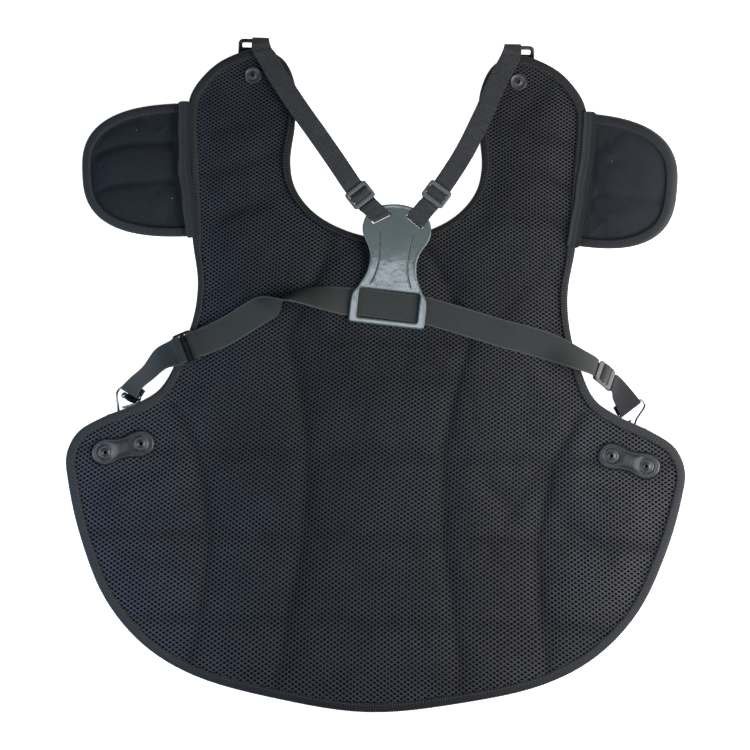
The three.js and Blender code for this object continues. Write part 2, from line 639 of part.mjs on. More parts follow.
// Hidden eye on the outer face: the flank plate's outline with a slotted tongue towards the armhole
function sideAnchor(turn) {
  const seated = -(RIM_HALF + GAP + SLIDER.thick / 2);
  const base = flatPlate(flankPlan(), SLIDER.thick, ARC_STEPS.flank);
  base.translate(0, 0, seated - SLIDER.thick / 2).rotateZ(turn);
  const plan = roundedBox(new THREE.Shape(), -EYE.width / 2, 0, EYE.width, EYE.top, EYE.corner);
  plan.holes = [slotPath(EYE_SLOT)];
  const profile = [[-1, seated], [EYE.bendFrom, seated], [EYE.bendTo, -EYE.drop], [EYE.top + 1, -EYE.drop]];
  const tongue = bentPlate(plan, profile, SLIDER.thick);
  return fromSolid(toSolid(base).add(toSolid(tongue)));
}

const flankSeats = {};
const shoulderSeats = {};

for (const [name, side] of [["left", -1], ["right", 1]]) {
  const shoulder = seatAt(side * SHOULDER_RIVET.across, SHOULDER_RIVET.up);
  shoulderSeats[name] = shoulder;
  addPiece(`${name}_shoulder_loop`, shoulderLoop(), "blackPlastic", shoulder);
  const loopUnder = BINDING_TOP + 2 * GAP + SLIDER.thick;
  addPiece(`${name}_shoulder_rivet`, rivet(loopUnder, RIM_HALF + GAP), "rivetMetal", shoulder);

  const turn = side * Math.atan((flankOuter.up - flankInner.up) / (flankOuter.across - flankInner.across));
  const across = (side * (flankInner.across + flankOuter.across)) / 2;
  const flank = seatAt(across, (flankInner.up + flankOuter.up) / 2);
  flankSeats[name] = flank;
  const plate = flatPlate(flankPlan(), FLANK_PLATE.thick, ARC_STEPS.flank);
  plate.rotateZ(turn).translate(0, 0, RIM_HALF + GAP);
  addPiece(`${name}_flank_plate`, bare(plate), "blackPlastic", flank);
  addPiece(`${name}_side_anchor`, sideAnchor(turn), "blackPlastic", flank);
  for (const [place, end] of [["inner", -side], ["outer", side]]) {
    const shape = rivet(RIM_HALF + 2 * GAP + SLIDER.thick, RIM_HALF + 2 * GAP + FLANK_PLATE.thick);
    const piece = addPiece(`${name}_flank_rivet_${place}`, shape, "rivetMetal", flank);
    piece.position.set(end * flankHalf * Math.cos(turn), end * flankHalf * Math.sin(turn), 0);
  }
}

// Back plate

function plateSlot(side) {
  const { across, along, length, width, corner, turn } = PLATE_SLOT;
  const level = roundedBox(new THREE.Path(), -length / 2, -width / 2, length, width, corner);
  const angle = -side * radians(turn);
  const middle = new THREE.Vector2(side * across, along);
  const points = level.getPoints(BACK_PLATE.steps);
  return new THREE.Path(points.map((point) => point.rotateAround(new THREE.Vector2(), angle).add(middle)));
}

function backPlate() {
  const plan = new THREE.Shape();
  const { half, corner } = PLATE_FOOT;
  plan.moveTo(-half + corner, 0);
  plan.lineTo(half - corner, 0);
  plan.quadraticCurveTo(half, 0, half, corner);
  const right = PLATE_SIDE.map((row) => new THREE.Vector2(row.half, row.along));
  const left = PLATE_SIDE.slice(0, -1).reverse().map((row) => new THREE.Vector2(-row.half, row.along));
  plan.splineThru([...right, ...left, new THREE.Vector2(-half, corner)]);
  plan.quadraticCurveTo(-half, 0, -half + corner, 0);
  const plate = new THREE.Shape(plan.getPoints(BACK_PLATE.steps));
  plate.holes = [slotPath(PLATE_WINDOW), plateSlot(-1), plateSlot(1)];
  return bentPlate(plate, PLATE_BEND, BACK_PLATE.thick);
}

const plateGroup = new THREE.Group();
plateGroup.position.set(BACK_PLATE.across, BACK_PLATE.up, BACK_PLATE.under + BACK_PLATE.thick / 2);
plateGroup.rotation.z = radians(BACK_PLATE.turn);
protector.add(plateGroup);
plateGroup.updateMatrixWorld(true);
addPiece("back_plate", backPlate(), "greyPlastic", plateGroup);

// Sliders: three bars across the strap, set square to it

function sliderShape(strapWidth) {
  const slotWidth = strapWidth + 2 * GAP;
  const width = slotWidth + 2 * SLIDER.bar;
  const length = 2 * (SLIDER_PITCH + SLIDER.bar / 2);
  const plan = roundedBox(new THREE.Shape(), -length / 2, -width / 2, length, width, SLIDER.corner);
  const from = SLIDER.middleBar / 2;
  plan.holes = [-from - SLIDER.slot, from].map((start) =>
    roundedBox(new THREE.Path(), start, -slotWidth / 2, SLIDER.slot, slotWidth, SLIDER.slotCorner),
  );
  return bare(flatPlate(plan, SLIDER.thick, ARC_STEPS.slider).translate(0, 0, -SLIDER.thick / 2));
}

function addSlider(name, place, strapWidth) {
  const across = place.normal.clone().cross(place.along).normalize();
  const turned = new THREE.Matrix4().makeBasis(place.along, across, place.normal);
  const slider = addPiece(name, sliderShape(strapWidth), "greyPlastic");
  slider.quaternion.setFromRotationMatrix(turned);
  slider.position.copy(place.middle);
}

// Shoulder straps: round the loop's top bar, over the shoulder, then to the plate's slot

function shoulderStrap(name, side) {
  const seat = shoulderSeats[name];
  const turn = LOOP_TURN.map((row) => {
    const { x, y, z } = seat.localToWorld(vector(-side * row.across, row.along, row.rise));
    return { x, y, z, bearing: -side * row.bearing, raised: 0, gather: row.gather };
  });
  const { across, along, width, ease, turn: slotTurn } = PLATE_SLOT;
  const inward = radians(90 - side * slotTurn);
  const rim = width / 2 - ease;
  const onPlate = PLATE_CROWN + BACK_PLATE.thick / 2 + GAP + WEB.thick / 2;
  const entry = vector(side * across + Math.cos(inward) * rim, along + Math.sin(inward) * rim, onPlate);
  const { x, y, z } = plateGroup.localToWorld(entry);
  const end = { x, y, z, bearing: BACK_PLATE.turn - side * slotTurn, raised: 0 };
  const { route, place } = woven([...turn, ...SHOULDER_ROUTES[name], end], turn.length + SHOULDER_SLIDER_ROW);
  const drop = BACK_PLATE.thick + 2 * GAP + WEB.thick;
  const folded = foldedBack(strapFrames(route, STRAP_STEPS), drop, WEB.tail);
  addPiece(`${name}_shoulder_strap`, strap(folded, WEB), "webbing");
  addSlider(`${name}_shoulder_slider`, place, WEB.width);
}

shoulderStrap("left", -1);
shoulderStrap("right", 1);

// Waist strap, from the left hook to the right one, with a half turn left of the plate

const hookDrop = 2 * WIRE.radius + 2 * GAP + ELASTIC.thick;
const afterRight = woven(WAIST_ROUTE, WAIST_SLIDER_ROWS.right);
const afterLeft = woven(afterRight.route, WAIST_SLIDER_ROWS.left);
addSlider("left_waist_slider", afterLeft.place, ELASTIC.width);
addSlider("right_waist_slider", afterRight.place, ELASTIC.width);
const waist = strapFrames(afterLeft.route, STRAP_STEPS);
const backwards = waist.map((frame) => ({ ...frame, along: frame.along.clone().negate() })).reverse();
const leftTail = foldedBack(backwards, -hookDrop, ELASTIC.tail).slice(waist.length);
const waistFrames = [...leftTail.reverse(), ...foldedBack(waist, hookDrop, ELASTIC.tail)];
addPiece("waist_strap", strap(waistFrames, ELASTIC), "webbing");

// Hooks: one bent wire each, from the point caught in the eye, round the strap's bar and back

function waistHook(name, side) {
  const seat = flankSeats[name];
  const left = side < 0;
  const { middle, normal, along, side: width } = left ? waist[0] : waist.at(-1);
  const ahead = left ? along.clone().negate() : along;
  const bar = middle.clone().addScaledVector(normal, (left ? 1 : -1) * (hookDrop / 2));
  const reach = ELASTIC.width / 2 + 2 * WIRE.radius + 2 * GAP;
  const ends = [-1, 1].map((way) => bar.clone().addScaledVector(width, way * reach));
  const [low, high] = ends.sort((one, other) => one.z - other.z);
  const place = (across, { along: up, rise }) => seat.localToWorld(vector(side * across, up, rise));
  const path = [
    ...HOOK_POINT.map((row) => place(HOOK_LEGS.near, row)),
    place(HOOK_LEGS.near, HOOK_SHANK),
    low.clone().addScaledVector(ahead, HOOK_LEGS.length),
    ...HOOK_BAR.map((share) => low.clone().lerp(high, share)),
    high.clone().addScaledVector(ahead, HOOK_LEGS.length).add(vector(0, 0, -HOOK_LEGS.dip)),
    place(HOOK_LEGS.far, HOOK_SHANK),
  ];
  const round = new THREE.Shape().absarc(0, 0, WIRE.radius, 0, 2 * Math.PI);
  const extrudePath = new THREE.CatmullRomCurve3(path);
  const sweep = { steps: WIRE.steps, extrudePath, curveSegments: ARC_STEPS.wire };
  const wire = new THREE.ExtrudeGeometry(round, sweep);
  addPiece(`${name}_waist_hook`, bare(wire), "chrome");
}

waistHook("left", -1);
waistHook("right", 1);

export default protector;
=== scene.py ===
# Catcher's chest protector, laid on its outer face with the mesh lining up.
# Sizes here are in millimetres; toMesh turns them into metres.
import math

import bmesh
import bpy
import numpy as np
from mathutils import Matrix, Vector, geometry


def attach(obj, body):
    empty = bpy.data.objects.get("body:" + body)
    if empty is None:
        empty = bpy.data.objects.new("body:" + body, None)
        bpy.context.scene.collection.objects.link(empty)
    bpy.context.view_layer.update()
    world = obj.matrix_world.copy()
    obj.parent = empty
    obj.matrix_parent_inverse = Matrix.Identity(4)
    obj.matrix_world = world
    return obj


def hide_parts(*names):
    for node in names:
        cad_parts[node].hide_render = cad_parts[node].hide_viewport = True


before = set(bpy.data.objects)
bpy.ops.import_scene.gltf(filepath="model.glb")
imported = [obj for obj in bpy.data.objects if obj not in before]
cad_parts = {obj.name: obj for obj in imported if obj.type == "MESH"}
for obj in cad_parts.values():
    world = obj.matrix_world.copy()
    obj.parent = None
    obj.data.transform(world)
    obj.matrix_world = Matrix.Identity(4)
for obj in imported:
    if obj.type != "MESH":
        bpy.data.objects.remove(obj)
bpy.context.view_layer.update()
scene = bpy.context.scene
print("frame loaded:", len(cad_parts), "nodes")


# shader and geometry nodes

class Wire:  # a socket that can be used in sums; node() adds any other node to its tree
    def __init__(self, tree, socket=None):
        self.tree = tree
        self.socket = socket

    def node(self, kind, settings=None, inputs=None, out=0):
        made = self.tree.nodes.new(kind)
        for key, value in (settings or {}).items():
            setattr(made, key, value)
        for key, value in (inputs or {}).items():
            if isinstance(value, Wire):
                self.tree.links.new(value.socket, made.inputs[key])
            else:
                made.inputs[key].default_value = value
        return Wire(self.tree, made.outputs[out])

    def beside(self, out):  # another output of the node that this comes from
        return Wire(self.tree, self.socket.node.outputs[out])

    def maths(self, operation, *terms):
        return self.node("ShaderNodeMath", {"operation": operation}, dict(enumerate(terms)))

    def __add__(self, other):
        return self.maths("ADD", self, other)

    def __radd__(self, other):
        return self.maths("ADD", other, self)

    def __sub__(self, other):
        return self.maths("SUBTRACT", self, other)

    def __mul__(self, other):
        return self.maths("MULTIPLY", self, other)

    def wave(self):
        return self.maths("SINE", self)

    def size(self):
        return self.maths("ABSOLUTE", self)

    def part(self, axis):
        return self.node("ShaderNodeSeparateXYZ", None, {0: self}, axis)

    def stripes(self, pitch, shift=0.0):  # from 0 to 1 and back once in each pitch
        return (self * (2 * math.pi / pitch) + shift).wave() * 0.5 + 0.5

    def ramp(self, low, high):  # 0 below low, 1 above high, smooth between
        settings = {"interpolation_type": "SMOOTHSTEP"}
        return self.node("ShaderNodeMapRange", settings, {"Value": self, "From Min": low, "From Max": high})

    def tint(self, dark, light):  # this value as the share of the second colour
        return self.node("ShaderNodeMix", {"data_type": "RGBA"}, {0: self, 6: dark, 7: light}, 2)

    def bump(self, distance, strength=1.0):
        return self.node("ShaderNodeBump", None, {"Strength": strength, "Distance": distance, "Height": self})


def finish(name, constants, build):
    made = bpy.data.materials.new(name)
    made.use_nodes = True
    shader = made.node_tree.nodes["Principled BSDF"]
    for key, value in constants.items():
        shader.inputs[key].default_value = value
    for key, value in build(Wire(made.node_tree)).items():
        made.node_tree.links.new(value.socket, shader.inputs[key])
    return made


def rgb(red, green, blue):
    return (red, green, blue, 1.0)


def noise(wire, at, scale, detail=2.0, roughness=0.5):
    sizes = {"Vector": at, "Scale": scale, "Detail": detail, "Roughness": roughness}
    return wire.node("ShaderNodeTexNoise", None, sizes)


def objectPlace(wire):
    return wire.node("ShaderNodeTexCoord", out="Object")


def uvPlace(wire):  # u across, v along, both in metres
    at = wire.node("ShaderNodeTexCoord", out="UV")
    return at, at.part("X"), at.part("Y")


def paintedShadeShare(wire):  # painted shade along seams and creases, 0 to 1, as its mesh says
    return wire.node("ShaderNodeAttribute", {"attribute_name": "paintedCreaseShade"}, out="Fac")


def startTree(name, inputs):  # an empty geometry tree, and its inputs as wires
    tree = bpy.data.node_groups.new(name, "GeometryNodeTree")
    for key, kind in {"Geometry": "Geometry", **inputs}.items():
        tree.interface.new_socket(key, in_out="INPUT", socket_type="NodeSocket" + kind)
    tree.interface.new_socket("Geometry", in_out="OUTPUT", socket_type="NodeSocketGeometry")
    entry = tree.nodes.new("NodeGroupInput")
    return Wire(tree), {socket.name: Wire(tree, socket) for socket in entry.outputs}


def endTree(shape, *finishes):  # realizes the shape and gives it each finish where that is selected
    shape = shape.node("GeometryNodeRealizeInstances", None, {"Geometry": shape})
    for look, where in finishes:
        inputs = {"Geometry": shape, "Selection": where, "Material": look}
        shape = shape.node("GeometryNodeSetMaterial", None, inputs)
    leave = shape.tree.nodes.new("NodeGroupOutput")
    shape.tree.links.new(shape.socket, leave.inputs[0])
    return shape.tree


# shapes

def splineAt(points, t, closed=False, plain=False):
    points = np.asarray(points, float)
    t = np.asarray(t, float)
    spans = len(points) if closed else len(points) - 1
    place = np.clip(t, 0, 1) * spans
    k = np.minimum(place.astype(int), spans - 1)
    w = (place - k)[:, None]
    if closed:
        p = [points[(k + j) % len(points)] for j in (-1, 0, 1, 2)]
    else:
        longer = np.vstack([2 * points[0] - points[1], points, 2 * points[-1] - points[-2]])
        p = [longer[k + j] for j in range(4)]
    if plain:
        first, second = (p[2] - p[0]) / 2, (p[3] - p[1]) / 2
    else:
        g = [np.linalg.norm(p[j + 1] - p[j], axis=1, keepdims=True) for j in range(3)]
        g = np.sqrt(np.maximum(g, 1e-6))
        first = ((p[1] - p[0]) / g[0] - (p[2] - p[0]) / (g[0] + g[1]) + (p[2] - p[1]) / g[1]) * g[1]
        second = ((p[2] - p[1]) / g[1] - (p[3] - p[1]) / (g[1] + g[2]) + (p[3] - p[2]) / g[2]) * g[1]
    bend = 3 * (p[2] - p[1]) - 2 * first - second
    twist = 2 * (p[1] - p[2]) + first + second
    return p[1] + first * w + bend * w ** 2 + twist * w ** 3


def unit(vectors):
    return vectors / np.maximum(np.linalg.norm(vectors, axis=-1, keepdims=True), 1e-9)


def smooth(value):
    value = np.clip(value, 0, 1)
    return value * value * (3 - 2 * value)


def runOf(line):  # how far along the line each of its points lies
    return np.concatenate([[0], np.cumsum(np.linalg.norm(np.diff(line, axis=0), axis=1))])


def evenly(points, step, closed=True):  # the same line with even steps
    line = np.vstack([points, points[:1]]) if closed else np.asarray(points, float)
    run = runOf(line)
    count = max(int(round(run[-1] / step)), 3)
    count += count % 2  # ribs come in pairs of stations
    at = np.linspace(0, run[-1], count + 1)[:count if closed else count + 1]
    return np.stack([np.interp(at, run, line[:, k]) for k in range(line.shape[1])], 1), at


def inwardOf(loop, closed=True):  # unit vectors to the right of a line, in plan
    if closed:
        along = np.roll(loop, -1, 0) - np.roll(loop, 1, 0)
    else:
        along = np.gradient(loop, axis=0)
    along = unit(along)
    return np.stack([along[:, 1], -along[:, 0]], 1)


def lineDistance(x, y, start, end):
    dx, dy = end[:, 0] - start[:, 0], end[:, 1] - start[:, 1]
    px, py = x[:, None] - start[:, 0], y[:, None] - start[:, 1]
    t = np.clip((px * dx + py * dy) / np.maximum(dx * dx + dy * dy, 1e-9), 0, 1)
    return np.hypot(px - t * dx, py - t * dy).min(1)


def loopDistance(x, y, loop):
    return lineDistance(x, y, loop, np.roll(loop, -1, 0))


def isInside(x, y, loop):
    start, end = loop, np.roll(loop, -1, 0)
    crosses = (start[:, 1] > y[:, None]) != (end[:, 1] > y[:, None])
    rise = np.where(end[:, 1] == start[:, 1], 1e-9, end[:, 1] - start[:, 1])
    meet = start[:, 0] + (y[:, None] - start[:, 1]) * (end[:, 0] - start[:, 0]) / rise
    return (crosses & (x[:, None] < meet)).sum(1) % 2 == 1


def edgeDistance(x, y, loop):
    return np.where(isInside(x, y, loop), loopDistance(x, y, loop), 0)


def staggered(low, high, step):  # points in offset rows over a box
    rows = np.arange(low[1], high[1], step * math.sqrt(0.75))
    return np.array([
        (x + (step / 2 if j % 2 else 0), y)
        for j, y in enumerate(rows) for x in np.arange(low[0], high[0], step)
    ])


def fillPlan(loops, inner):  # triangles between the first loop and the others, through the inner points
    points = [Vector(p) for loop in loops for p in loop] + [Vector(p) for p in inner]
    edges, start = [], 0
    for loop in loops:
        edges += [(start + i, start + (i + 1) % len(loop)) for i in range(len(loop))]
        start += len(loop)
    made = geometry.delaunay_2d_cdt(points, edges, [], 0, 1e-5)
    verts = np.array([tuple(v) for v in made[0]])
    faces = np.array([tuple(f) for f in made[2]])
    middle = verts[faces].mean(1)
    keep = isInside(middle[:, 0], middle[:, 1], np.asarray(loops[0], float))
    for hole in loops[1:]:
        keep &= ~isInside(middle[:, 0], middle[:, 1], np.asarray(hole, float))
    faces = faces[keep]
    a, b, c = (verts[faces[:, k]] for k in range(3))
    turned = np.cross(b - a, c - a) < 0
    faces[turned] = faces[turned][:, ::-1]
    return verts, faces


def closePlate(plan, faces, upper, lower):  # a closed solid between two heights over a plan
    count = len(plan)
    verts = np.vstack([np.column_stack([plan, upper]), np.column_stack([plan, lower])])
    edges = {}
    for a, b, c in faces.tolist():
        for one, two in ((a, b), (b, c), (c, a)):
            edges[(one, two)] = True
    walls = [(b, a, a + count, b + count) for a, b in edges if (b, a) not in edges]
    under = [(c + count, b + count, a + count) for a, b, c in faces.tolist()]
    return verts, [tuple(f) for f in faces.tolist()] + under + walls


def tubeFaces(rows, count, closed=False, capped=True):  # quads between rings of points
    faces = []
    for r in range(rows if closed else rows - 1):
        a, b = r * count, (r + 1) % rows * count
        faces += [(a + k, a + (k + 1) % count, b + (k + 1) % count, b + k) for k in range(count)]
    if capped and not closed:
        last = (rows - 1) * count
        faces += [tuple(range(count))[::-1], tuple(range(last, last + count))]
    return faces


def moved(turn, verts):
    return np.array([turn @ Vector(p) for p in verts])


def linked(name, data):
    made = bpy.data.objects.new(name, data)
    scene.collection.objects.link(made)
    return made


def toMesh(name, verts, faces, finishes, uv=None, sharp=None, indexes=None):
    mesh = bpy.data.meshes.new(name)
    mesh.from_pydata((np.asarray(verts) * 0.001).tolist(), [], [tuple(f) for f in faces])
    for one in finishes:
        mesh.materials.append(one)
    if indexes is not None:
        mesh.polygons.foreach_set("material_index", np.asarray(indexes, np.int32))
    if uv is not None:
        corners = np.zeros(len(mesh.loops), np.int32)
        mesh.loops.foreach_get("vertex_index", corners)
        layer = mesh.uv_layers.new(name="run")
        layer.data.foreach_set("uv", (np.asarray(uv)[corners] * 0.001).ravel().astype(np.float32))
    mesh.shade_smooth()
    if sharp is not None:
        mesh.set_sharp_from_angle(angle=math.radians(sharp))
    mesh.update()
    return linked(name, mesh)


def vertsOf(made):
    flat = np.zeros(len(made.data.vertices) * 3)
    made.data.vertices.foreach_get("co", flat)
    return flat.reshape(-1, 3)


def setPoints(made, places):
    made.data.vertices.foreach_set("co", places.ravel())
    made.data.update()


def addLayer(mesh, name, values):  # one value for each point, which a finish or a node tree reads
    kind, field = ("FLOAT", "value") if np.ndim(values) == 1 else ("FLOAT_VECTOR", "vector")
    layer = mesh.attributes.new(name, kind, "POINT")
    layer.data.foreach_set(field, np.asarray(values, np.float32).ravel())


def outward(made):
    work = bmesh.new()
    work.from_mesh(made.data)
    bmesh.ops.recalc_face_normals(work, faces=work.faces)
    work.to_mesh(made.data)
    work.free()


def bakeNodes(made, tree, values):  # runs a node tree on an object and keeps the result as its mesh
    modifier = made.modifiers.new("nodes", "NODES")
    modifier.node_group = tree
    for item in tree.interface.items_tree:
        if item.item_type == "SOCKET" and item.in_out == "INPUT" and item.name in values:
            modifier[item.identifier] = values[item.name]
    ready = made.evaluated_get(bpy.context.evaluated_depsgraph_get())
    mesh = bpy.data.meshes.new_from_object(ready)
    made.modifiers.remove(modifier)
    old = made.data
    made.data = mesh
    bpy.data.meshes.remove(old)
    mesh.shade_smooth()


def declare(made, slot, *nodes):
    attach(made, "root")
    if nodes:
        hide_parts(*nodes)


bothSides = (("left", -1), ("right", 1))


# finishes

def paintedFlankLight(at):  # painted light: the outer parts of the cloth are made lighter, as brighter light falls on the flanks, 0 to 1
    return at.part("X").size().ramp(0.05, 0.25)


def liningLook(wire):
    at = objectPlace(wire)
    patch = noise(wire, at, 7.0, 3.0)
    swell = noise(wire, at, 24.0, 2.0).ramp(0.3, 0.7)
    fibre = noise(wire, at, 900.0, 2.0, 0.6)
    paintedCoolLight = (patch * 0.7 + 0.22 - at.part("X") * 1.1).ramp(0.2, 0.9)  # painted light: bluer towards the left, as cool light falls from that side
    # painted light: the lining is made lighter towards the flanks
    depth = patch * 0.25 + swell * 0.25 + fibre * 0.4 + paintedFlankLight(at) * 0.6 - 0.27
    shade = depth.tint(rgb(0.019, 0.0192, 0.020), rgb(0.053, 0.0535, 0.0555))
    blue = depth.tint(rgb(0.018, 0.021, 0.026), rgb(0.048, 0.055, 0.070))
    return {
        # painted shade darkens the lining along seams and wrinkles
        "Base Color": (paintedShadeShare(wire) * 0.6).tint(paintedCoolLight.tint(shade, blue), rgb(0.010, 0.011, 0.013)),
        "Roughness": 0.45 + fibre * 0.25,
        "Normal": fibre.bump(0.00025, 0.5),
    }


def groundLook(wire):
    fibre = noise(wire, objectPlace(wire), 1400.0, 2.0)
    return {
        "Base Color": fibre.tint(rgb(0.0018, 0.0018, 0.003), rgb(0.0065, 0.007, 0.009)),
        "Normal": fibre.bump(0.0002, 0.4),
    }


def weave(at, pitch):  # plain over and under weave, 0 to 1, from a place in metres
    x, y = (at.part(axis) * (math.pi / pitch) for axis in "XY")
    return (x.wave() * y.wave()) * 0.5 + 0.5


def outerLook(wire):
    at = objectPlace(wire)
    threads = weave(at, 0.0006)
    patch = noise(wire, at, 14.0, 3.0)
    return {
        "Base Color": (patch * 0.6 + threads * 0.4).tint(rgb(0.010, 0.011, 0.013), rgb(0.024, 0.026, 0.029)),
        "Roughness": 0.55 + patch * 0.2,
        "Normal": threads.bump(0.0002, 0.5),
    }


def capLook(wire):
    at = objectPlace(wire)
    threads = weave(at, 0.0009)
    patch = noise(wire, at, 22.0, 4.0, 0.6)
    nap = noise(wire, at, 420.0, 3.0, 0.7).ramp(0.3, 0.7)
    lint = noise(wire, at, 330.0, 0.0).ramp(0.885, 0.90)
    wearAndPaintedLight = at.part("X").ramp(0.1, 0.25)  # painted light: the right cap is made lighter, as brighter light falls on it
    depth = patch * 0.3 + nap * 0.5 + threads * 0.2 + wearAndPaintedLight * 0.42
    plain = depth.tint(rgb(0.006, 0.009, 0.011), rgb(0.026, 0.030, 0.034))
    # painted shade darkens the creases
    creaseShaded = (paintedShadeShare(wire) * 0.7).tint(plain, rgb(0.003, 0.004, 0.005))
    return {
        "Base Color": lint.tint(creaseShaded, rgb(0.30, 0.31, 0.32)),
        "Roughness": 0.75 + nap * 0.2,
        "Normal": (threads * 0.5 + nap * 0.8).bump(0.0003, 0.7),
    }


def tapeLook(wire):
    along = uvPlace(wire)[2]
    at = objectPlace(wire)
    patch = noise(wire, at, 35.0, 3.0)
    yarn = noise(wire, at, 1100.0, 2.0)
    rib = along.stripes(0.0022)  # the same pitch as tape["rib"]
    # painted light: the tape is made lighter towards the flanks
    depth = rib * 0.6 + patch * 0.2 + yarn * 0.2 + paintedFlankLight(at) * 0.6 - 0.32
    return {
        "Base Color": depth.tint(rgb(0.002, 0.0022, 0.0025), rgb(0.040, 0.0425, 0.046)),
        "Roughness": 0.6 + yarn * 0.25,
        "Normal": yarn.bump(0.0002, 0.5),
    }


def webLook(wire):
    at, across, along = uvPlace(wire)
    patch = noise(wire, objectPlace(wire), 30.0, 3.0)
    drift = noise(wire, at, 170.0, 2.0) * 0.004  # the picks waver
    ribs = (along + drift).stripes(0.0017)
    cords = across.stripes(0.0013, ribs * 2.2)
    blotch = noise(wire, objectPlace(wire), 240.0, 2.0)
    relief = ribs * 0.5 + cords * ribs * 0.5
    depth = relief * 0.5 + patch * 0.2 + blotch * 0.3
    return {
        "Base Color": depth.tint(rgb(0.006, 0.007, 0.008), rgb(0.082, 0.086, 0.090)),
        "Roughness": 0.5 + patch * 0.25,
        "Normal": relief.bump(0.0006, 0.9),
    }


def elasticLook(wire):
    _, across, along = uvPlace(wire)
    at = objectPlace(wire)
    patch = noise(wire, at, 26.0, 3.0)
    cords = across.stripes(0.0010)
    picks = along.stripes(0.0012)
    edge = (across - 0.0125).size().ramp(0.0108, 0.0120)
    depth = cords * 0.3 + picks * 0.3 + patch * 0.4
    plain = depth.tint(rgb(0.0145, 0.017, 0.0165), rgb(0.046, 0.053, 0.0515))
    edged = (edge * 0.32).tint(plain, rgb(0.13, 0.135, 0.13))
    # painted shade: the turned end past the right slider is darkened, as it lies in shadow
    tail = (at.part("X") * 0.76 - at.part("Y") * 0.65).ramp(0.159, 0.166)
    return {
        "Base Color": (tail * 0.85).tint(edged, rgb(0.004, 0.005, 0.009)),
        "Roughness": 0.55 + patch * 0.2,
        "Normal": (cords * 0.5 + picks * 0.5).bump(0.0003, 0.8),
    }


def threadLook(wire):
    fibre = noise(wire, objectPlace(wire), 1500.0, 1.0)
    return {"Base Color": fibre.tint(rgb(0.03, 0.032, 0.034), rgb(0.09, 0.093, 0.096))}


def plateLook(wire):
    at = objectPlace(wire)
    flow = noise(wire, at, 28.0, 4.0, 0.55)
    speck = noise(wire, at, 600.0, 2.0)
    wearAndPaintedLight = noise(wire, at, 75.0, 5.0, 0.7)
    return {
        "Base Color": (flow * 0.7 + speck * 0.3).tint(rgb(0.070, 0.092, 0.090), rgb(0.120, 0.150, 0.147)),
        "Roughness": 0.06 + wearAndPaintedLight * 0.12,
        "Normal": (flow * 0.9 + wearAndPaintedLight * 0.12).bump(0.0014, 0.35),
    }


def sliderLook(wire):
    wearAndPaintedLight = noise(wire, objectPlace(wire), 160.0, 4.0, 0.65)
    return {
        "Base Color": wearAndPaintedLight.tint(rgb(0.052, 0.056, 0.057), rgb(0.118, 0.122, 0.123)),
        "Roughness": 0.32 + wearAndPaintedLight * 0.25,
        "Normal": wearAndPaintedLight.bump(0.0003, 0.3),
    }


def glossLook(wire):
    at = objectPlace(wire)
    haze = noise(wire, at, 60.0, 4.0, 0.6)
    drawn = wire.node("ShaderNodeMapping", None, {0: at, "Scale": (300.0, 2600.0, 300.0)})
    marks = noise(wire, drawn, 1.0, 2.0).ramp(0.66, 0.74)  # fine scratches
    return {
        "Base Color": (haze * 0.6 + marks * 0.4).tint(rgb(0.008, 0.009, 0.010), rgb(0.026, 0.028, 0.031)),
        "Roughness": 0.18 + haze * 0.12 + marks * 0.12,
        "Normal": haze.bump(0.0008, 0.3),
    }


def rivetLook(wire):
    wearAndPaintedLight = noise(wire, objectPlace(wire), 420.0, 3.0, 0.6)
    return {
        "Base Color": wearAndPaintedLight.tint(rgb(0.030, 0.032, 0.034), rgb(0.070, 0.073, 0.077)),
        "Roughness": 0.2 + wearAndPaintedLight * 0.2,
    }


# painted shade: a near-black finish for the hollows of the rivets and the shaded body of the left hook
def shadowBlackLook(wire):
    fibre = noise(wire, objectPlace(wire), 900.0)
    return {"Base Color": fibre.tint(rgb(0.001, 0.001, 0.001), rgb(0.003, 0.003, 0.003))}


def chromeLook(wire):
    wearAndPaintedLight = noise(wire, objectPlace(wire), 700.0, 3.0)
    return {
        "Base Color": wearAndPaintedLight.tint(rgb(0.20, 0.21, 0.22), rgb(0.34, 0.35, 0.37)),
        "Roughness": 0.08 + wearAndPaintedLight * 0.12,
    }


matt = {"Sheen Weight": 0.05, "Sheen Roughness": 0.5, "Specular IOR Level": 0.2}
liningFinish = finish("meshLining", {"Sheen Weight": 0.02, "Specular IOR Level": 0.22}, liningLook)
groundFinish = finish("liningGround", {"Roughness": 0.95, "Specular IOR Level": 0.1}, groundLook)
outerFinish = finish("outerCloth", matt, outerLook)
capFinish = finish("capCloth", matt, capLook)
tapeFinish = finish("wovenTape", matt, tapeLook)
webFinish = finish("webbing", matt, webLook)
elasticFinish = finish("elastic", matt, elasticLook)
threadFinish = finish("thread", {"Roughness": 0.6}, threadLook)
plateFinish = finish("greyMoulding", {"Specular IOR Level": 0.55}, plateLook)
sliderFinish = finish("greySlider", {}, sliderLook)
glossFinish = finish("blackMoulding", {"Specular IOR Level": 0.55}, glossLook)
rivetFinish = finish("darkRivet", {"Metallic": 0.4, "Specular IOR Level": 0.5}, rivetLook)
shadowBlackFinish = finish("paintedShadowBlack", {"Roughness": 0.4, "Specular IOR Level": 0.08}, shadowBlackLook)
chromeFinish = finish("brightWire", {"Metallic": 1.0}, chromeLook)
print("finishes made:", len(bpy.data.materials))


# the body's outline and how it lies

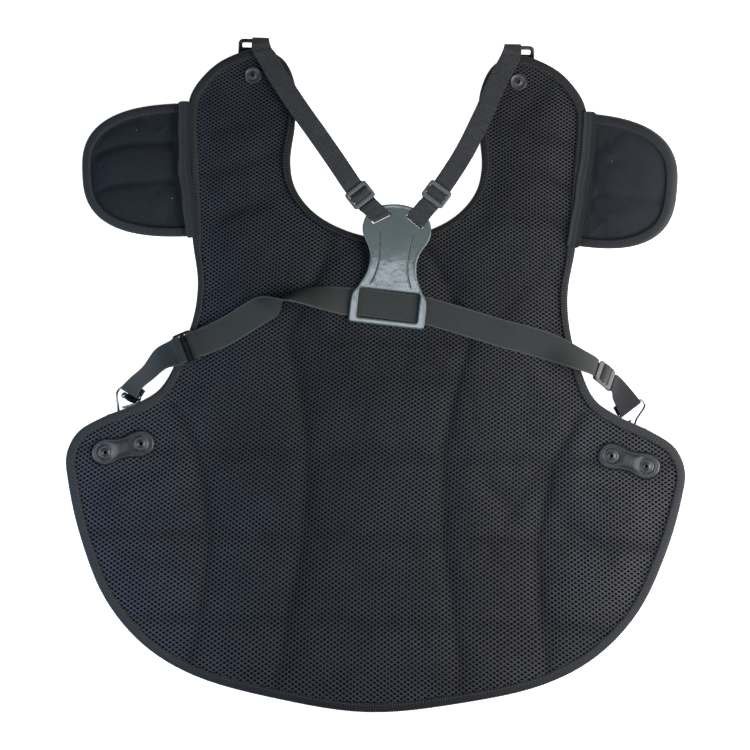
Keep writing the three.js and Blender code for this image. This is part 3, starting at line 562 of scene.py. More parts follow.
body = {
    "outline": [
        (0, 124), (35, 130.5), (63.9, 146), (81, 167), (86, 190), (82.6, 225), (83, 258), (94.5, 282),
        (117, 291), (149.4, 280), (168, 263), (177.3, 247), (179.3, 229), (176.4, 181), (172.6, 121),
        (166.6, 80), (169.2, 49), (178, 20), (195, -15.8), (217, -30.6), (247.5, -44), (268.2, -57.6),
        (277.5, -78), (275, -104), (263, -151), (239.4, -206), (204, -246.6), (157.5, -273.6),
        (80, -293), (0, -302.6),
    ],
    "outlineSteps": 6,  # points from each knot of the outline to the next
    "skew": [(-320, -1.2), (-120, 0), (0, 0), (60, 2.3), (320, 2.3)],  # height, how far it has slid sideways
    "rimHalf": 3.5, "innerPuff": 6.0, "outerPuff": 14.0, "rimHeight": 15.0, "rimBand": 9.0, "rimRise": 34.0,
    "seatReach": 20.0, "seatRise": 20.0,
    "longSeam": (9.5, 0.86), "crossSeam": (8.0, 0.72), "seamRound": 1.5,  # reach and depth of the channels
    # slope, where it starts and how far it takes to bend
    "sideLift": (0.19, 130, 45), "shoulderLift": (0.07, 110, 40), "hemLift": (0.08, 190, 40),
    # how far the long seams lie from the middle: height, inner, outer
    "longSeams": [
        (-312, 86, 172), (-224, 76, 154), (-148, 63, 147), (-73, 61, 160), (-28, 67, 184), (-1, 73, 190),
        (32, 82, 184), (75, 64, 178), (122, 40, 180), (150, 62, 182), (185, 84, 184), (312, 84, 190),
    ],
    "innerTop": 122, "outerTop": -28,
    # cross seams: height at the pivot, slope, sewn from, sewn to
    "crossSeams": [
        (-224, 0, 0, 300), (-148, 0, 0, 300), (-73, 0, 0, 300), (-1, 0, 0, 74), (32, 0, 0, 83),
        (149, -0.3, 60, 200), (186, -0.3, 60, 200), (223, -0.3, 60, 200),
    ],
    "pivot": 128,
    # wrinkles pressed into the lining: start, end, reach across, depth
    "wrinkles": [
        ((97, -89), (127, -122), 5, 1.5), ((148, -78), (120, -122), 6, 1.7),
        ((102, -151), (118, -170), 5, 1.1), ((128, -31), (143, -54), 6, 1.1),
        ((-217, -169), (-148, -186), 6, 1.4), ((-255, -120), (-196, -132), 7, 1.2),
        ((-160, 132), (-96, 160), 7, 1.6), ((96, 154), (178, 138), 7, 1.5),
        ((107, 56), (150, 108), 8, 1.3), ((50, 100), (66, 62), 6, 1.8),
        ((-53, 104), (-42, 130), 6, 1.8), ((-168, 52), (-120, 98), 8, 1.1),
        ((-82, 26), (-66, -8), 5, 1.2), ((170, -130), (205, -150), 9, 1.2),
        ((150, -205), (162, -236), 7, 1.2), ((-150, -30), (-128, -62), 7, 1.1),
        ((-60, -236), (-84, -272), 6, 1.0), ((-118, 226), (-96, 214), 7, 1.0),
    ],
    # shares of a wrinkle's length: how far it runs on, and how far it takes to fade
    "wrinkleFade": (0.35, 0.5),
    "gap": 0.4, "tape": 1.3, "tapeWidth": 9.5, "tapeEase": 1.0,
    "shoulderRivet": (119.3, 267.8), "flankRivets": [(212.4, -66.2), (244.4, -74.7)],
}


def skewAt(y):
    rows = np.array(body["skew"], float)
    return np.interp(y, rows[:, 0], rows[:, 1])


def bodyOutline():
    right = np.array(body["outline"], float)
    knots = np.vstack([right, right[1:-1][::-1] * (-1, 1)])
    knots[:, 0] += skewAt(knots[:, 1])
    count = len(knots) * body["outlineSteps"]
    return splineAt(knots, np.arange(count) / count, closed=True)


outline = bodyOutline()
bindingTop = body["rimHalf"] + body["gap"] + body["tapeEase"] + body["tape"]


def lifted(reach, lift):
    slope, start, bend = lift
    past = np.maximum(reach - start, 0)
    return slope * np.where(past < bend, past * past / (2 * bend), past - bend / 2)


def restHeight(x, y):
    x, y = np.asarray(x, float), np.asarray(y, float)
    sides = lifted(np.abs(x), body["sideLift"])
    return body["rimHeight"] + sides + lifted(y, body["shoulderLift"]) + lifted(-y, body["hemLift"])


def seat(x, y):  # a place on the lying pad, square to it
    slopeX = float(restHeight(x + 1, y) - restHeight(x - 1, y)) / 2
    slopeY = float(restHeight(x, y + 1) - restHeight(x, y - 1)) / 2
    turn = Vector((0, 0, 1)).rotation_difference(Vector((-slopeX, -slopeY, 1)).normalized())
    return Matrix.Translation((x, y, float(restHeight(x, y)))) @ turn.to_matrix().to_4x4()


longSeamRows = np.array(body["longSeams"], float)
longSeamTops = (body["innerTop"], body["outerTop"])


def longSeamAt(y, seam):  # how far one of the long seams lies from the middle
    return np.interp(y, longSeamRows[:, 0], longSeamRows[:, seam + 1])


def seamGaps(x, y):  # distance to each sewn seam, far away where it isn't sewn; the long ones are last
    across, far = np.abs(x), 1e3
    gaps = [
        np.where((across >= start) & (across < end), y - up - slope * (across - body["pivot"]), far)
        for up, slope, start, end in body["crossSeams"]
    ]
    gaps += [np.where(y < top, across - longSeamAt(y, seam), far) for seam, top in enumerate(longSeamTops)]
    return np.abs(np.array(gaps))


def seamPoints(step):  # places along the sewn seams, for both halves
    lines = []
    for seam, top in enumerate(longSeamTops):
        up = np.arange(longSeamRows[0, 0], top, step)
        lines.append(np.column_stack([longSeamAt(up, seam), up]))
    for height, slope, start, end in body["crossSeams"]:
        across = np.arange(max(start, step / 2), end, step)
        lines.append(np.column_stack([across, height + slope * (across - body["pivot"])]))
    one = np.vstack(lines)
    return np.vstack([one, one * (-1, 1)])


def wrinkleDepth(x, y):
    deep = np.zeros(len(x))
    past, fade = body["wrinkleFade"]
    for start, end, reach, depth in body["wrinkles"]:
        a, b = np.array(start, float), np.array(end, float)
        length = np.linalg.norm(b - a)
        run = (b - a) / length
        at = (np.stack([x, y], 1) - a) @ run / length
        gap = np.abs((x - a[0]) * run[1] - (y - a[1]) * run[0])
        deep += depth * np.exp(-gap / reach) * smooth((at + past) / fade) * smooth((1 + past - at) / fade)
    return deep


def seatDistance(x, y):
    starts, ends = [], []
    for side in (-1, 1):
        one, two = [(side * a, u) for a, u in body["flankRivets"]]
        top = (side * body["shoulderRivet"][0], body["shoulderRivet"][1])
        starts += [one, top]
        ends += [two, top]
    return lineDistance(x, y, np.array(starts, float), np.array(ends, float))


def puffAt(x, y):
    gaps = seamGaps(x, y)
    shapes = np.array([body["crossSeam"]] * (len(gaps) - 2) + [body["longSeam"]] * 2)
    sewn = np.prod(1 - shapes[:, 1:] * np.exp(-np.hypot(gaps, body["seamRound"]) / shapes[:, :1]), axis=0)
    seated = smooth((seatDistance(x, y) - body["seatReach"]) / body["seatRise"])
    return sewn * seated * smooth((edgeDistance(x, y, outline) - body["rimBand"]) / body["rimRise"])


# the quilted pad: swelled by a cloth simulation between its seams, then lined with an open net

pad = {
    "box": ((-280, -305), (280, 295)), "spacing": 4.2, "seamClear": 0.55, "edgeClear": 5.0,
    "start": 0.9, "pinned": 1.2, "rimPin": 9.0, "seatPin": 12.0,
    "pressure": 2.0, "slack": -0.02, "frames": 12, "most": 1.3, "calm": 2,
    "net": {
        "columns": 3.04, "rows": 4.22, "turn": -1.0, "wide": 0.82, "tall": 0.5,
        "lift": 0.8, "depth": 0.6, "inset": 3.0, "span": (600, 760), "low": -320,
        "drop": 200.0,  # the height that the lattice is dropped from
        # the height where the cells have their own size, and how they shrink above it
        "coarse": -211, "finer": 0.00027,
    },
    # painted shade: reach of the dark along seams, its share along cross seams, the depth of a dark wrinkle and
    # its most
    "seamShade": 5.0, "crossShade": 0.6, "wrinkleShade": 2.4, "wrinkleMost": 0.8,
}


def settle(made, pins, look):  # swells a closed cloth held at its pins; returns the moved points
    start = vertsOf(made)
    group = made.vertex_groups.new(name="sewn")
    for weight in np.unique(pins[pins > 0]):
        group.add(np.nonzero(pins == weight)[0].tolist(), float(weight), "REPLACE")
    swell = made.modifiers.new("swell", "CLOTH")
    settings = {
        "quality": 4, "mass": 0.3, "tension_stiffness": 12, "compression_stiffness": 12, "shear_stiffness": 4,
        "bending_stiffness": 0.25, "use_pressure": True, "uniform_pressure_force": look["pressure"],
        "shrink_min": look["slack"], "vertex_group_mass": group.name,
    }
    for key, value in settings.items():
        setattr(swell.settings, key, value)
    swell.settings.effector_weights.gravity = 0
    swell.collision_settings.use_collision = False
    swell.point_cache.frame_start = 1
    swell.point_cache.frame_end = look["frames"]
    for step in range(1, look["frames"] + 1):
        scene.frame_set(step)
    ready = made.evaluated_get(bpy.context.evaluated_depsgraph_get())
    flat = np.zeros(len(start) * 3)
    ready.data.vertices.foreach_get("co", flat)
    made.modifiers.remove(swell)
    made.vertex_groups.clear()
    scene.frame_set(1)
    move = flat.reshape(-1, 3) - start
    reach = np.linalg.norm(move, axis=1, keepdims=True)
    most = look["most"] * 0.001
    move *= np.where(reach > 0, most * np.tanh(reach / most) / np.maximum(reach, 1e-9), 0)
    ends = np.array([edge.vertices[:] for edge in made.data.edges])
    beside = np.bincount(ends.ravel(), minlength=len(move))[:, None]
    for _ in range(look["calm"]):  # evens out the sharpest buckles between the pins
        total = np.zeros_like(move)
        np.add.at(total, ends[:, 0], move[ends[:, 1]])
        np.add.at(total, ends[:, 1], move[ends[:, 0]])
        move = np.where(pins[:, None] > 0, move, (move + total / beside) / 2)
    return start + move


def makePad():
    edge, _ = evenly(outline + inwardOf(outline) * (body["tape"] + 2 * body["gap"]), pad["spacing"])
    inner = staggered(*pad["box"], pad["spacing"])
    inner = inner[seamGaps(*inner.T).min(0) > pad["spacing"] * pad["seamClear"]]
    inner = np.vstack([inner, seamPoints(pad["spacing"])])
    inner = inner[edgeDistance(*inner.T, outline) > pad["edgeClear"]]
    plan, faces = fillPlan([edge[::-1]], inner)
    x, y = plan.T
    puff = puffAt(x, y) * pad["start"]
    upper = restHeight(x, y) + body["rimHalf"] + body["innerPuff"] * puff
    upper = upper - wrinkleDepth(x, y) * smooth(puff * 2)
    lower = np.maximum(restHeight(x, y) - body["rimHalf"] - body["outerPuff"] * puff, 0)
    verts, solid = closePlate(plan, faces, upper, lower)
    under = np.zeros(len(solid), int)
    under[len(faces):] = 1
    made = toMesh("bodyPad", verts, solid, [groundFinish, outerFinish], indexes=under)
    near = edgeDistance(x, y, outline) < pad["rimPin"]
    sewn = seamGaps(x, y).min(0) < pad["pinned"]
    held = seatDistance(x, y) < pad["seatPin"]
    pins = np.where(near | sewn | held, 1.0, 0.0)
    swelled = settle(made, np.concatenate([pins, pins]), pad)
    swelled[:, 2] = np.maximum(swelled[:, 2], 0)
    setPoints(made, swelled)
    print("pad settled:", len(solid), "faces")
    return made


def netTree():  # hexagonal cells over the points of a flat lattice, dropped on the pad and opened
    inputs = {"Pad": "Object", "Finish": "Material", **dict.fromkeys(("Lift", "Depth", "Wide", "Tall"), "Float")}
    wire, given = startTree("openNet", inputs)
    under = wire.node("GeometryNodeObjectInfo", None, {"Object": given["Pad"]}, "Geometry")
    at = wire.node("GeometryNodeInputPosition")
    ray = {"Target Geometry": under, "Source Position": at, "Ray Direction": (0, 0, -1), "Ray Length": 1.0}
    hit = wire.node("GeometryNodeRaycast", None, ray, "Hit Position")
    facing = hit.beside("Hit Normal")
    raised = wire.node("ShaderNodeVectorMath", {"operation": "SCALE"}, {0: facing, "Scale": given["Lift"]})
    landed = wire.node("ShaderNodeVectorMath", {"operation": "ADD"}, {0: hit, 1: raised})
    laid = wire.node("GeometryNodeSetPosition", None, {"Geometry": given["Geometry"], "Position": landed})
    cells = wire.node("GeometryNodeDualMesh", None, {"Mesh": laid})
    sunk = {"Mesh": cells, "Offset Scale": given["Depth"] * -1.0, "Individual": True}
    walls = wire.node("GeometryNodeExtrudeMesh", {"mode": "FACES"}, sunk, "Mesh")
    floor = walls.beside("Top")
    drawn = walls
    for key, axis in (("Wide", (1, 0, 0)), ("Tall", (0, 1, 0))):
        sizes = {"Geometry": drawn, "Selection": floor, "Scale": given[key], "Axis": axis}
        drawn = wire.node("GeometryNodeScaleElements", {"scale_mode": "SINGLE_AXIS"}, sizes)
    bottoms = {"Geometry": drawn, "Selection": floor}
    opened = wire.node("GeometryNodeDeleteGeometry", {"domain": "FACE"}, bottoms)
    return endTree(opened, (given["Finish"], True))


def paintShadeLayer(made):  # painted shade on the lining at each point, along its seams and wrinkles
    x, y = vertsOf(made)[:, :2].T * 1000
    marks = np.exp(-(seamGaps(x, y) / pad["seamShade"]) ** 2)
    sewn = np.maximum(marks[:-2].max(0) * pad["crossShade"], marks[-2:].max(0))
    # painted shade in the wrinkles
    wearAndPaintedLight = np.minimum(wrinkleDepth(x, y) / pad["wrinkleShade"], pad["wrinkleMost"])
    addLayer(made.data, "paintedCreaseShade", np.maximum(sewn, wearAndPaintedLight))


def makeNet(under):
    look = pad["net"]
    columns = int(look["span"][0] / look["columns"])
    rows = int(look["span"][1] / look["rows"])
    i, j = np.meshgrid(np.arange(columns), np.arange(rows), indexing="ij")
    x = (i - columns / 2) * look["columns"]
    y = look["low"] + (j + 0.5 * (i % 2)) * look["rows"]
    # the knit drifts a little, as cloth does when it is laid up by hand
    driftX = 1.5 * np.sin(y / 61 + 0.7) + 0.8 * np.sin(x / 47 + y / 83)
    driftY = 1.3 * np.sin(x / 67 + 1.9)
    x, y = x + driftX, y + driftY
    turn = math.radians(look["turn"])
    x, y = x * math.cos(turn) - y * math.sin(turn), x * math.sin(turn) + y * math.cos(turn)
    # the cells get finer towards the shoulders, as the photograph shows them
    climb = y - look["coarse"]
    near = 1 / (1 + look["finer"] * climb)
    flat = np.stack([(x * near).ravel(), (look["coarse"] + climb * near).ravel()], 1)
    keep = edgeDistance(*flat.T, outline) > look["inset"]
    faces = []
    for c in range(columns - 1):
        for r in range(rows - 1):
            a, b = c * rows + r, (c + 1) * rows + r
            if c % 2:
                faces += [(a, b, b + 1), (a, b + 1, a + 1)]
            else:
                faces += [(a, b, a + 1), (b, b + 1, a + 1)]
    faces = np.array(faces)
    faces = faces[keep[faces].all(1)]
    used, again = np.unique(faces, return_inverse=True)
    lattice = np.column_stack([flat[used], np.full(len(used), look["drop"])])
    made = toMesh("meshLining", lattice, again.reshape(-1, 3), [liningFinish])
    values = {
        "Pad": under, "Lift": look["lift"] * 0.001, "Depth": look["depth"] * 0.001, "Wide": look["wide"],
        "Tall": look["tall"], "Finish": liningFinish,
    }
    bakeNodes(made, netTree(), values)
    paintShadeLayer(made)
    print("mesh lining:", len(made.data.polygons), "faces")
    return made


bodyPad = makePad()
meshLining = makeNet(bodyPad)
declare(bodyPad, "lining", "body_pad")
declare(meshLining, "lining")


# woven tape folded over an edge, ribbed across

tape = {
    "rib": 2.2, "height": 0.42, "wander": 0.4, "sharp": 60,
    # shares of the width: what shows, how much less of it shows at neck and arms, where the stitches run
    "shown": 0.86, "narrower": 0.22, "edge": 0.8,
    "stitchUp": 0.3, "stitchStep": 3.0,
}


def tapeSection(half):  # distance in from the edge, and height from its middle; the last four are the inside
    inner = half + body["gap"] + body["tapeEase"]
    top = inner + body["tape"]
    wall = body["tape"] + body["gap"] / 2
    wide = body["tapeWidth"]
    upper = [
        (wide, top - 0.35), (wide - 0.5, top), (wide * 0.6, top + 0.15), (2.6, top), (0.9, top - 0.8),
        (0, half * 0.6),
    ]
    lower = [(a, -h) for a, h in upper[::-1]]
    return np.array(upper + lower + [(wide, -inner), (wall, -inner), (wall, inner), (wide, inner)])


def tapeShare(x, y):  # how much of the tape's width shows: less round the neck and the armholes
    neck = smooth((96 - np.abs(x)) / 20) * smooth((y - 100) / 20)
    arm = smooth((130 - y) / 30) * smooth((y + 10) / 30) * smooth((215 - np.abs(x)) / 20)
    return tape["shown"] - tape["narrower"] * np.maximum(neck, arm)


def foldTape(name, loop, half, height, closed, turn=None):
    line, run = evenly(loop, tape["rib"] / 2, closed)
    share = np.full(len(line), tape["shown"]) if turn else tapeShare(*line.T)
    inward = inwardOf(line, closed)
    section = tapeSection(half)
    count = len(section)
    around = unit(np.roll(section, -1, 0) - np.roll(section, 1, 0))
    out = np.stack([-around[:, 1], around[:, 0]], 1)
    ribbed = np.where(np.arange(count) < count - 4, tape["height"], 0.0)
    crest = np.where(np.arange(len(line)) % 2 == 0, 1.0, -1.0)
    sway = tape["wander"] * (np.sin(run / 23.0) * 0.6 + np.sin(run / 9.7 + 1.3) * 0.4)
    wide = np.clip(section[:, 0] / body["tapeWidth"], 0, 1) ** 3
    reach = section[:, 0] * (1 - (1 - share[:, None]) * wide)
    reach = reach + out[:, 0] * ribbed * crest[:, None] * 0.5 + sway[:, None] * wide
    rise = section[:, 1] + out[:, 1] * ribbed * crest[:, None] * 0.5
    flat = line[:, None, :] + inward[:, None, :] * reach[:, :, None]
    verts = np.dstack([flat, height(flat[..., 0], flat[..., 1]) + rise]).reshape(-1, 3)
    uv = np.column_stack([np.tile(runOf(section), len(line)), np.repeat(run, count)])
    if turn is not None:
        verts = moved(turn, verts)
    made = toMesh(name, verts, tubeFaces(len(line), count, closed), [tapeFinish], uv, tape["sharp"])
    outward(made)
    return made


# stitches: one short arched thread at even steps along a path

stitch = {
    "length": 2.3, "thick": 0.42, "arch": 0.25, "pitch": 3.0, "stray": 0.06, "seed": 7, "sides": 5,
    # along it, its thickness and its rise, as shares
    "rows": [(-0.5, 0.25, -0.5), (-0.3, 0.9, 0.5), (0.0, 1.0, 1.0), (0.3, 0.9, 0.5), (0.5, 0.25, -0.5)],
}


def stitchShape():
    sides, rows = stitch["sides"], stitch["rows"]
    ring = [(math.cos(a), math.sin(a)) for a in np.arange(sides) * 2 * math.pi / sides]
    verts = []
    for at, wide, rise in rows:
        for across, up in ring:
            height = rise * stitch["arch"] + up * wide * stitch["thick"] / 2
            verts.append((at * stitch["length"], across * wide * stitch["thick"] / 2, height))
    made = toMesh("stitchShape", verts, tubeFaces(len(rows), sides), [threadFinish])
    outward(made)
    return made


def alongTree():  # copies of a shape along a path, stood up by the path's own up attribute
    inputs = {"Shape": "Object", "Pitch": "Float", "Stray": "Float", "Seed": "Int", "Finish": "Material"}
    wire, given = startTree("alongPath", inputs)
    path = wire.node("GeometryNodeMeshToCurve", None, {"Mesh": given["Geometry"]})
    steps = {"Curve": path, "Length": given["Pitch"]}
    even = wire.node("GeometryNodeResampleCurve", {"mode": "LENGTH"}, steps)
    up = wire.node("GeometryNodeInputNamedAttribute", {"data_type": "FLOAT_VECTOR"}, {"Name": "up"})
    along = wire.node("GeometryNodeInputTangent")
    stood = wire.node("FunctionNodeAlignRotationToVector", {"axis": "Z"}, {"Vector": up})
    ahead = {"Rotation": stood, "Vector": along}
    faced = wire.node("FunctionNodeAlignRotationToVector", {"axis": "X", "pivot_axis": "Z"}, ahead)
    spread = {2: given["Stray"] * -1.0, 3: given["Stray"], "Seed": given["Seed"]}
    stray = wire.node("FunctionNodeRandomValue", {"data_type": "FLOAT"}, spread, 1)
    angle = wire.node("ShaderNodeCombineXYZ", None, {"Z": stray})
    twist = wire.node("FunctionNodeEulerToRotation", None, {0: angle})
    turned = wire.node("FunctionNodeRotateRotation", {"rotation_space": "LOCAL"}, {0: faced, 1: twist})
    shape = wire.node("GeometryNodeObjectInfo", None, {"Object": given["Shape"]}, "Geometry")
    copied = {"Points": even, "Instance": shape, "Rotation": turned}
    copies = wire.node("GeometryNodeInstanceOnPoints", None, copied)
    return endTree(copies, (given["Finish"], True))


stitchPaths = []  # lines to sew: points, which way is up at each, and whether the line is closed


def upMesh(name, verts, edges, ups):  # bare points that know which way is up
    mesh = bpy.data.meshes.new(name)
    mesh.from_pydata((np.array(verts) * 0.001).tolist(), edges, [])
    addLayer(mesh, "up", np.array(ups))
    return linked(name, mesh)


def sewPaths(name):
    verts, ups, edges = [], [], []
    for line, up, closed in stitchPaths:
        start, count = len(verts), len(line)
        verts += line.tolist()
        ups += up.tolist()
        edges += [(start + i, start + (i + 1) % count) for i in range(count if closed else count - 1)]
    made = upMesh(name, verts, edges, ups)
    shape = stitchShape()
    values = {
        "Shape": shape, "Pitch": stitch["pitch"] * 0.001, "Stray": stitch["stray"], "Seed": stitch["seed"],
        "Finish": threadFinish,
    }
    bakeNodes(made, alongTree(), values)
    bpy.data.objects.remove(shape)
    print(name + ":", len(made.data.polygons), "faces")
    declare(made, "tape")


def bindBody():
    made = foldTape("bodyBinding", outline, body["rimHalf"], restHeight, True)
    declare(made, "tape", "body_binding")
    line, _ = evenly(outline, tape["stitchStep"])
    sewnAt = body["tapeWidth"] * tapeShare(*line.T) * tape["edge"]
    flat = line + inwardOf(line) * sewnAt[:, None]
    rise = restHeight(*flat.T) + bindingTop + tape["stitchUp"]
    stitchPaths.append((np.column_stack([flat, rise]), np.tile((0, 0, 1), (len(flat), 1)), True))


bindBody()
print("binding made")


# shoulder caps, sewn on along a hinge

cap = {
    "depth": {"left": 96.5, "right": 89.5}, "half": 60.0, "roundness": 2.7, "steps": 60,
    "rim": 2.5, "puff": 3.5, "band": 8.0, "rise": 22.0,
    "sink": -0.6, "across": 176.4, "up": 181.0, "hingeHalf": 61.0, "lean": 3.6, "climb": 4.3,
    "clearance": {"left": 0.9, "right": 2.4}, "lift": {"left": -5.0, "right": 25.0},
    # creases: place along the hinge, depth, where they start to bend out, and how far they bend
    "creases": {
        "left": [(24.0, 2.7, 48.0, -9.0), (-11.0, 2.4, 50.0, -7.0)],
        "right": [(-11.0, 1.1, 40.0, -1.0)],
    },
    "creaseReach": 2.8, "creaseSpan": 34.0, "creaseShade": 2.0, "dish": 0.45, "dishReach": 12.0,
    "creaseFade": ((4, 12), (6, 10)),  # from the hinge and from the edge: where it starts, and how far it takes
    "box": ((-100, -62), (100, 62)), "spacing": 2.4, "edgeClear": 0.6, "rimPin": 9.0, "hingePin": 4.0,
    "start": 0.8, "pressure": 2.0, "slack": -0.02, "frames": 12, "most": 1.0, "calm": 0,
    # the seam tape: its width, its rounded ends, and how it strays from the hinge, from the low end up
    "tapeWidth": 11.4, "tapeEnd": 3.0, "tapeBow": 1.6, "tapeSway": 1.0, "fineRib": 1.5, "tapeCrease": 0.55,
    "stray": {"left": (0.2, -2.2, -3.4, -3.2, -2.4), "right": (-3.4, -0.4, 2.2, 2.6, 1.0)},
    "tapeKnots": 9, "tapeSteps": 20, "tapeStitch": 0.36, "bareEnds": 3, "bareCorners": 4,
}


def capEdge(name, side):
    angle = np.pi / 2 - np.pi * np.arange(cap["steps"] + 1) / cap["steps"]
    power = 2 / cap["roundness"]
    out = np.maximum(np.cos(angle), 0) ** power * cap["depth"][name]
    along = np.sign(np.sin(angle)) * np.abs(np.sin(angle)) ** power * cap["half"]
    edge = np.stack([side * out, along], 1)
    return edge if side > 0 else edge[::-1]


def hinge(name, side):
    across = side * (cap["across"] + cap["clearance"][name]) + float(skewAt(cap["up"]))
    turns = [cap["climb"], -side * cap["lift"][name], -side * cap["lean"]]
    spin = Matrix.Identity(4)
    for axis, angle in zip("XYZ", turns):
        spin = spin @ Matrix.Rotation(math.radians(angle), 4, axis)
    height = float(restHeight(across, cap["up"])) + cap["sink"]
    return Matrix.Translation((across, cap["up"], height)) @ spin


def makeCap(name, side):
    turn = hinge(name, side)
    facing = turn.to_3x3() @ Vector((0, 0, 1))
    edge = capEdge(name, side)
    inset = body["tape"] + 2 * body["gap"]
    trimmed, _ = evenly(edge + inwardOf(edge, False) * inset, cap["spacing"], False)
    inner = staggered(*cap["box"], cap["spacing"])
    inner = inner[edgeDistance(*inner.T, trimmed) > cap["spacing"] * cap["edgeClear"]]
    plan, faces = fillPlan([trimmed], inner)
    x, y = plan.T
    near = edgeDistance(x, y, edge)
    full = cap["puff"] * smooth((near - cap["band"]) / cap["rise"])
    puff = full * cap["start"]
    crease = np.zeros(len(x))
    fades = [smooth((gap - start) / span) for gap, (start, span) in zip((side * x, near), cap["creaseFade"])]
    for along, depth, bendFrom, bend in cap["creases"][name]:
        gap = y - along - bend * np.maximum((side * x - bendFrom) / cap["creaseSpan"], 0) ** 2
        puff = puff * (1 - cap["dish"] * np.exp(-(gap / cap["dishReach"]) ** 2))
        crease += depth * np.exp(-np.abs(gap) / cap["creaseReach"]) * fades[0] * fades[1]
    verts, solid = closePlate(plan, faces, cap["rim"] + puff, -cap["rim"] - puff)
    made = toMesh(name + "ShoulderCap", moved(turn, verts), solid, [capFinish])
    pins = np.where((near < cap["rimPin"]) | (side * x < cap["hingePin"]), 1.0, 0.0)
    setPoints(made, settle(made, np.concatenate([pins, pins]), cap))
    crease = np.concatenate([crease, crease * 0])  # the upper face alone
    setPoints(made, vertsOf(made) - crease[:, None] * np.array(facing) * 0.001)
    # painted shade in the creases, read by the cloth's finish
    addLayer(made.data, "paintedCreaseShade", np.minimum(crease / cap["creaseShade"], 1) ** 2)
    declare(made, "cap_cloth", name + "_shoulder_cap")
    binding = foldTape(name + "CapBinding", edge, cap["rim"], lambda a, b: np.zeros_like(a), False, turn)
    declare(binding, "tape", name + "_cap_binding")
    line, _ = evenly(edge, tape["stitchStep"], False)
    flat = line + inwardOf(line, False) * body["tapeWidth"] * tape["shown"] * tape["edge"]
    flat = flat[cap["bareCorners"]:-cap["bareCorners"]]
    top = cap["rim"] + body["gap"] + body["tapeEase"] + body["tape"] + tape["stitchUp"]
    sewn = moved(turn, np.column_stack([flat, np.full(len(flat), top)]))
    stitchPaths.append((sewn, np.tile(facing, (len(sewn), 1)), False))


for name, side in bothSides:
    makeCap(name, side)
print("shoulder caps made")


# straps: rows give the middle, the bearing of the width, how far that edge is raised, and the share of the
# width that is left

strap = {
    "web": (17.5, 1.4), "elastic": (25.0, 1.4), "tail": 9.0, "steps": 8, "foldSteps": 12,
    "webSway": 0.12, "elasticSway": 0.15,
    # past a slider's bars: along in pitches, and the face that it lies on
    "weave": [
        (-1.5, 0), (-1.22, -1), (-0.76, -1), (-0.5, 0), (-0.22, 1),
        (0.22, 1), (0.5, 0), (0.76, -1), (1.22, -1), (1.5, 0),
    ],
    "sliderPitch": 7.4, "weaveHeight": 2.2,
    # round a loop's bar: along, rise, across, bearing, share of the width
    "loopTurn": [
        (25.8, -1.9, 5.9, 0, 0.84), (26.3, -4.2, 5.9, 0, 0.84), (27.8, -6.4, 5.9, 0, 0.84),
        (30.4, -6.8, 5.9, 0, 0.84), (32.5, -5.6, 5.9, 0, 0.84), (32.7, -3, 5.9, 0, 0.86),
        (30.7, -1.2, 6, 4, 0.9), (28, 1.2, 6.2, 8, 0.94), (25.3, 5.8, 6.8, 12, 0.98), (22.2, 9.2, 7.8, 16, 1),
    ],
    "left": [
        (-107.5, 284, 34.2, 24, 0, 1), (-98, 268.5, 34.6, 35, 0, 1), (-78, 239.5, 34.4, 37, 0, 1),
        (-49.5, 201.5, 33.6, 37, 0, 1), (-20.3, 162, 33, 36, 0, 1), (-9.5, 150.5, 33, 32, 0, 1),
    ],
    "right": [
        (109, 284, 34.2, -20, 0, 1), (101.5, 269, 34.6, -28, 0, 1), (88, 236.5, 34.4, -29, 0, 1),
        (70, 198.5, 33.6, -32, 0, 1), (48.3, 164.5, 33, -35, 0, 1), (39.3, 152.5, 33, -37, 0, 1),
    ],
    "sliderRow": 4,
    "waist": [
        (-223, -19, 16.5, -28, 48), (-218, -12.5, 18, -34, 54), (-207, -2.5, 21, -46, 54),
        (-195, 10.5, 26.5, -58, 36), (-172.5, 20.5, 31, -62, 16), (-149, 31, 28, -60, 4),
        (-133, 39.5, 27, -60, 0), (-108, 56, 29, -64, -12), (-96.5, 61.5, 33.8, -52, -40),
        (-86.5, 66, 38.6, 0, -90), (-75.6, 69.5, 37.4, 80, -66), (-54, 69, 33.4, 86, -36),
        (-32, 66.5, 26.4, 86, -4), (-20, 66.2, 25.7, 85, 0), (10, 63.4, 25.7, 85, 0), (40, 60.2, 25.7, 83, 0),
        (54.5, 56.5, 25.8, 80, 0), (106, 42.5, 25.8, 77, 0), (152, 30.5, 27.6, 74, -4), (178, 20.5, 31, 62, -38),
        (204, 6, 23.5, 48, -56), (219, -10, 19, 42, -42), (228, -23, 13.4, 38, -25),
    ],
    "waistRows": {"left": 4, "right": 20}, "wire": 1.3, "sharp": 50,
    # the section: shares of half the width, and of half the thickness there
    "across": [-1, -0.985, -0.9, -0.5, -0.25, -0.1, 0.05, 0.2, 0.5, 0.9, 0.985, 1],
    "thickness": [0.35, 0.8, 1, 1, 1, 1, 1, 1, 1, 1, 0.8, 0.35],
    "creaseAt": -0.1, "creaseHalf": 0.12, "cornerShare": 0.97,
}


def strapFrames(route, steps):
    rows = np.array([tuple(row) + (1,) if len(row) == 5 else tuple(row) for row in route], float)
    t = np.linspace(0, 1, (len(rows) - 1) * steps + 1)
    turn, lean = np.radians(rows[:, 3]), np.radians(rows[:, 4])
    wide = np.stack([np.cos(turn) * np.cos(lean), np.sin(turn) * np.cos(lean), np.sin(lean)], 1)
    side = splineAt(wide * rows[:, 5:], t, plain=True)
    middle = rows[:, :3]
    before, after = (splineAt(middle, np.clip(t + step, 0, 1)) for step in (-1e-4, 1e-4))
    along = unit(after - before)
    return {"middle": splineAt(middle, t), "along": along, "side": side, "normal": unit(np.cross(along, side))}


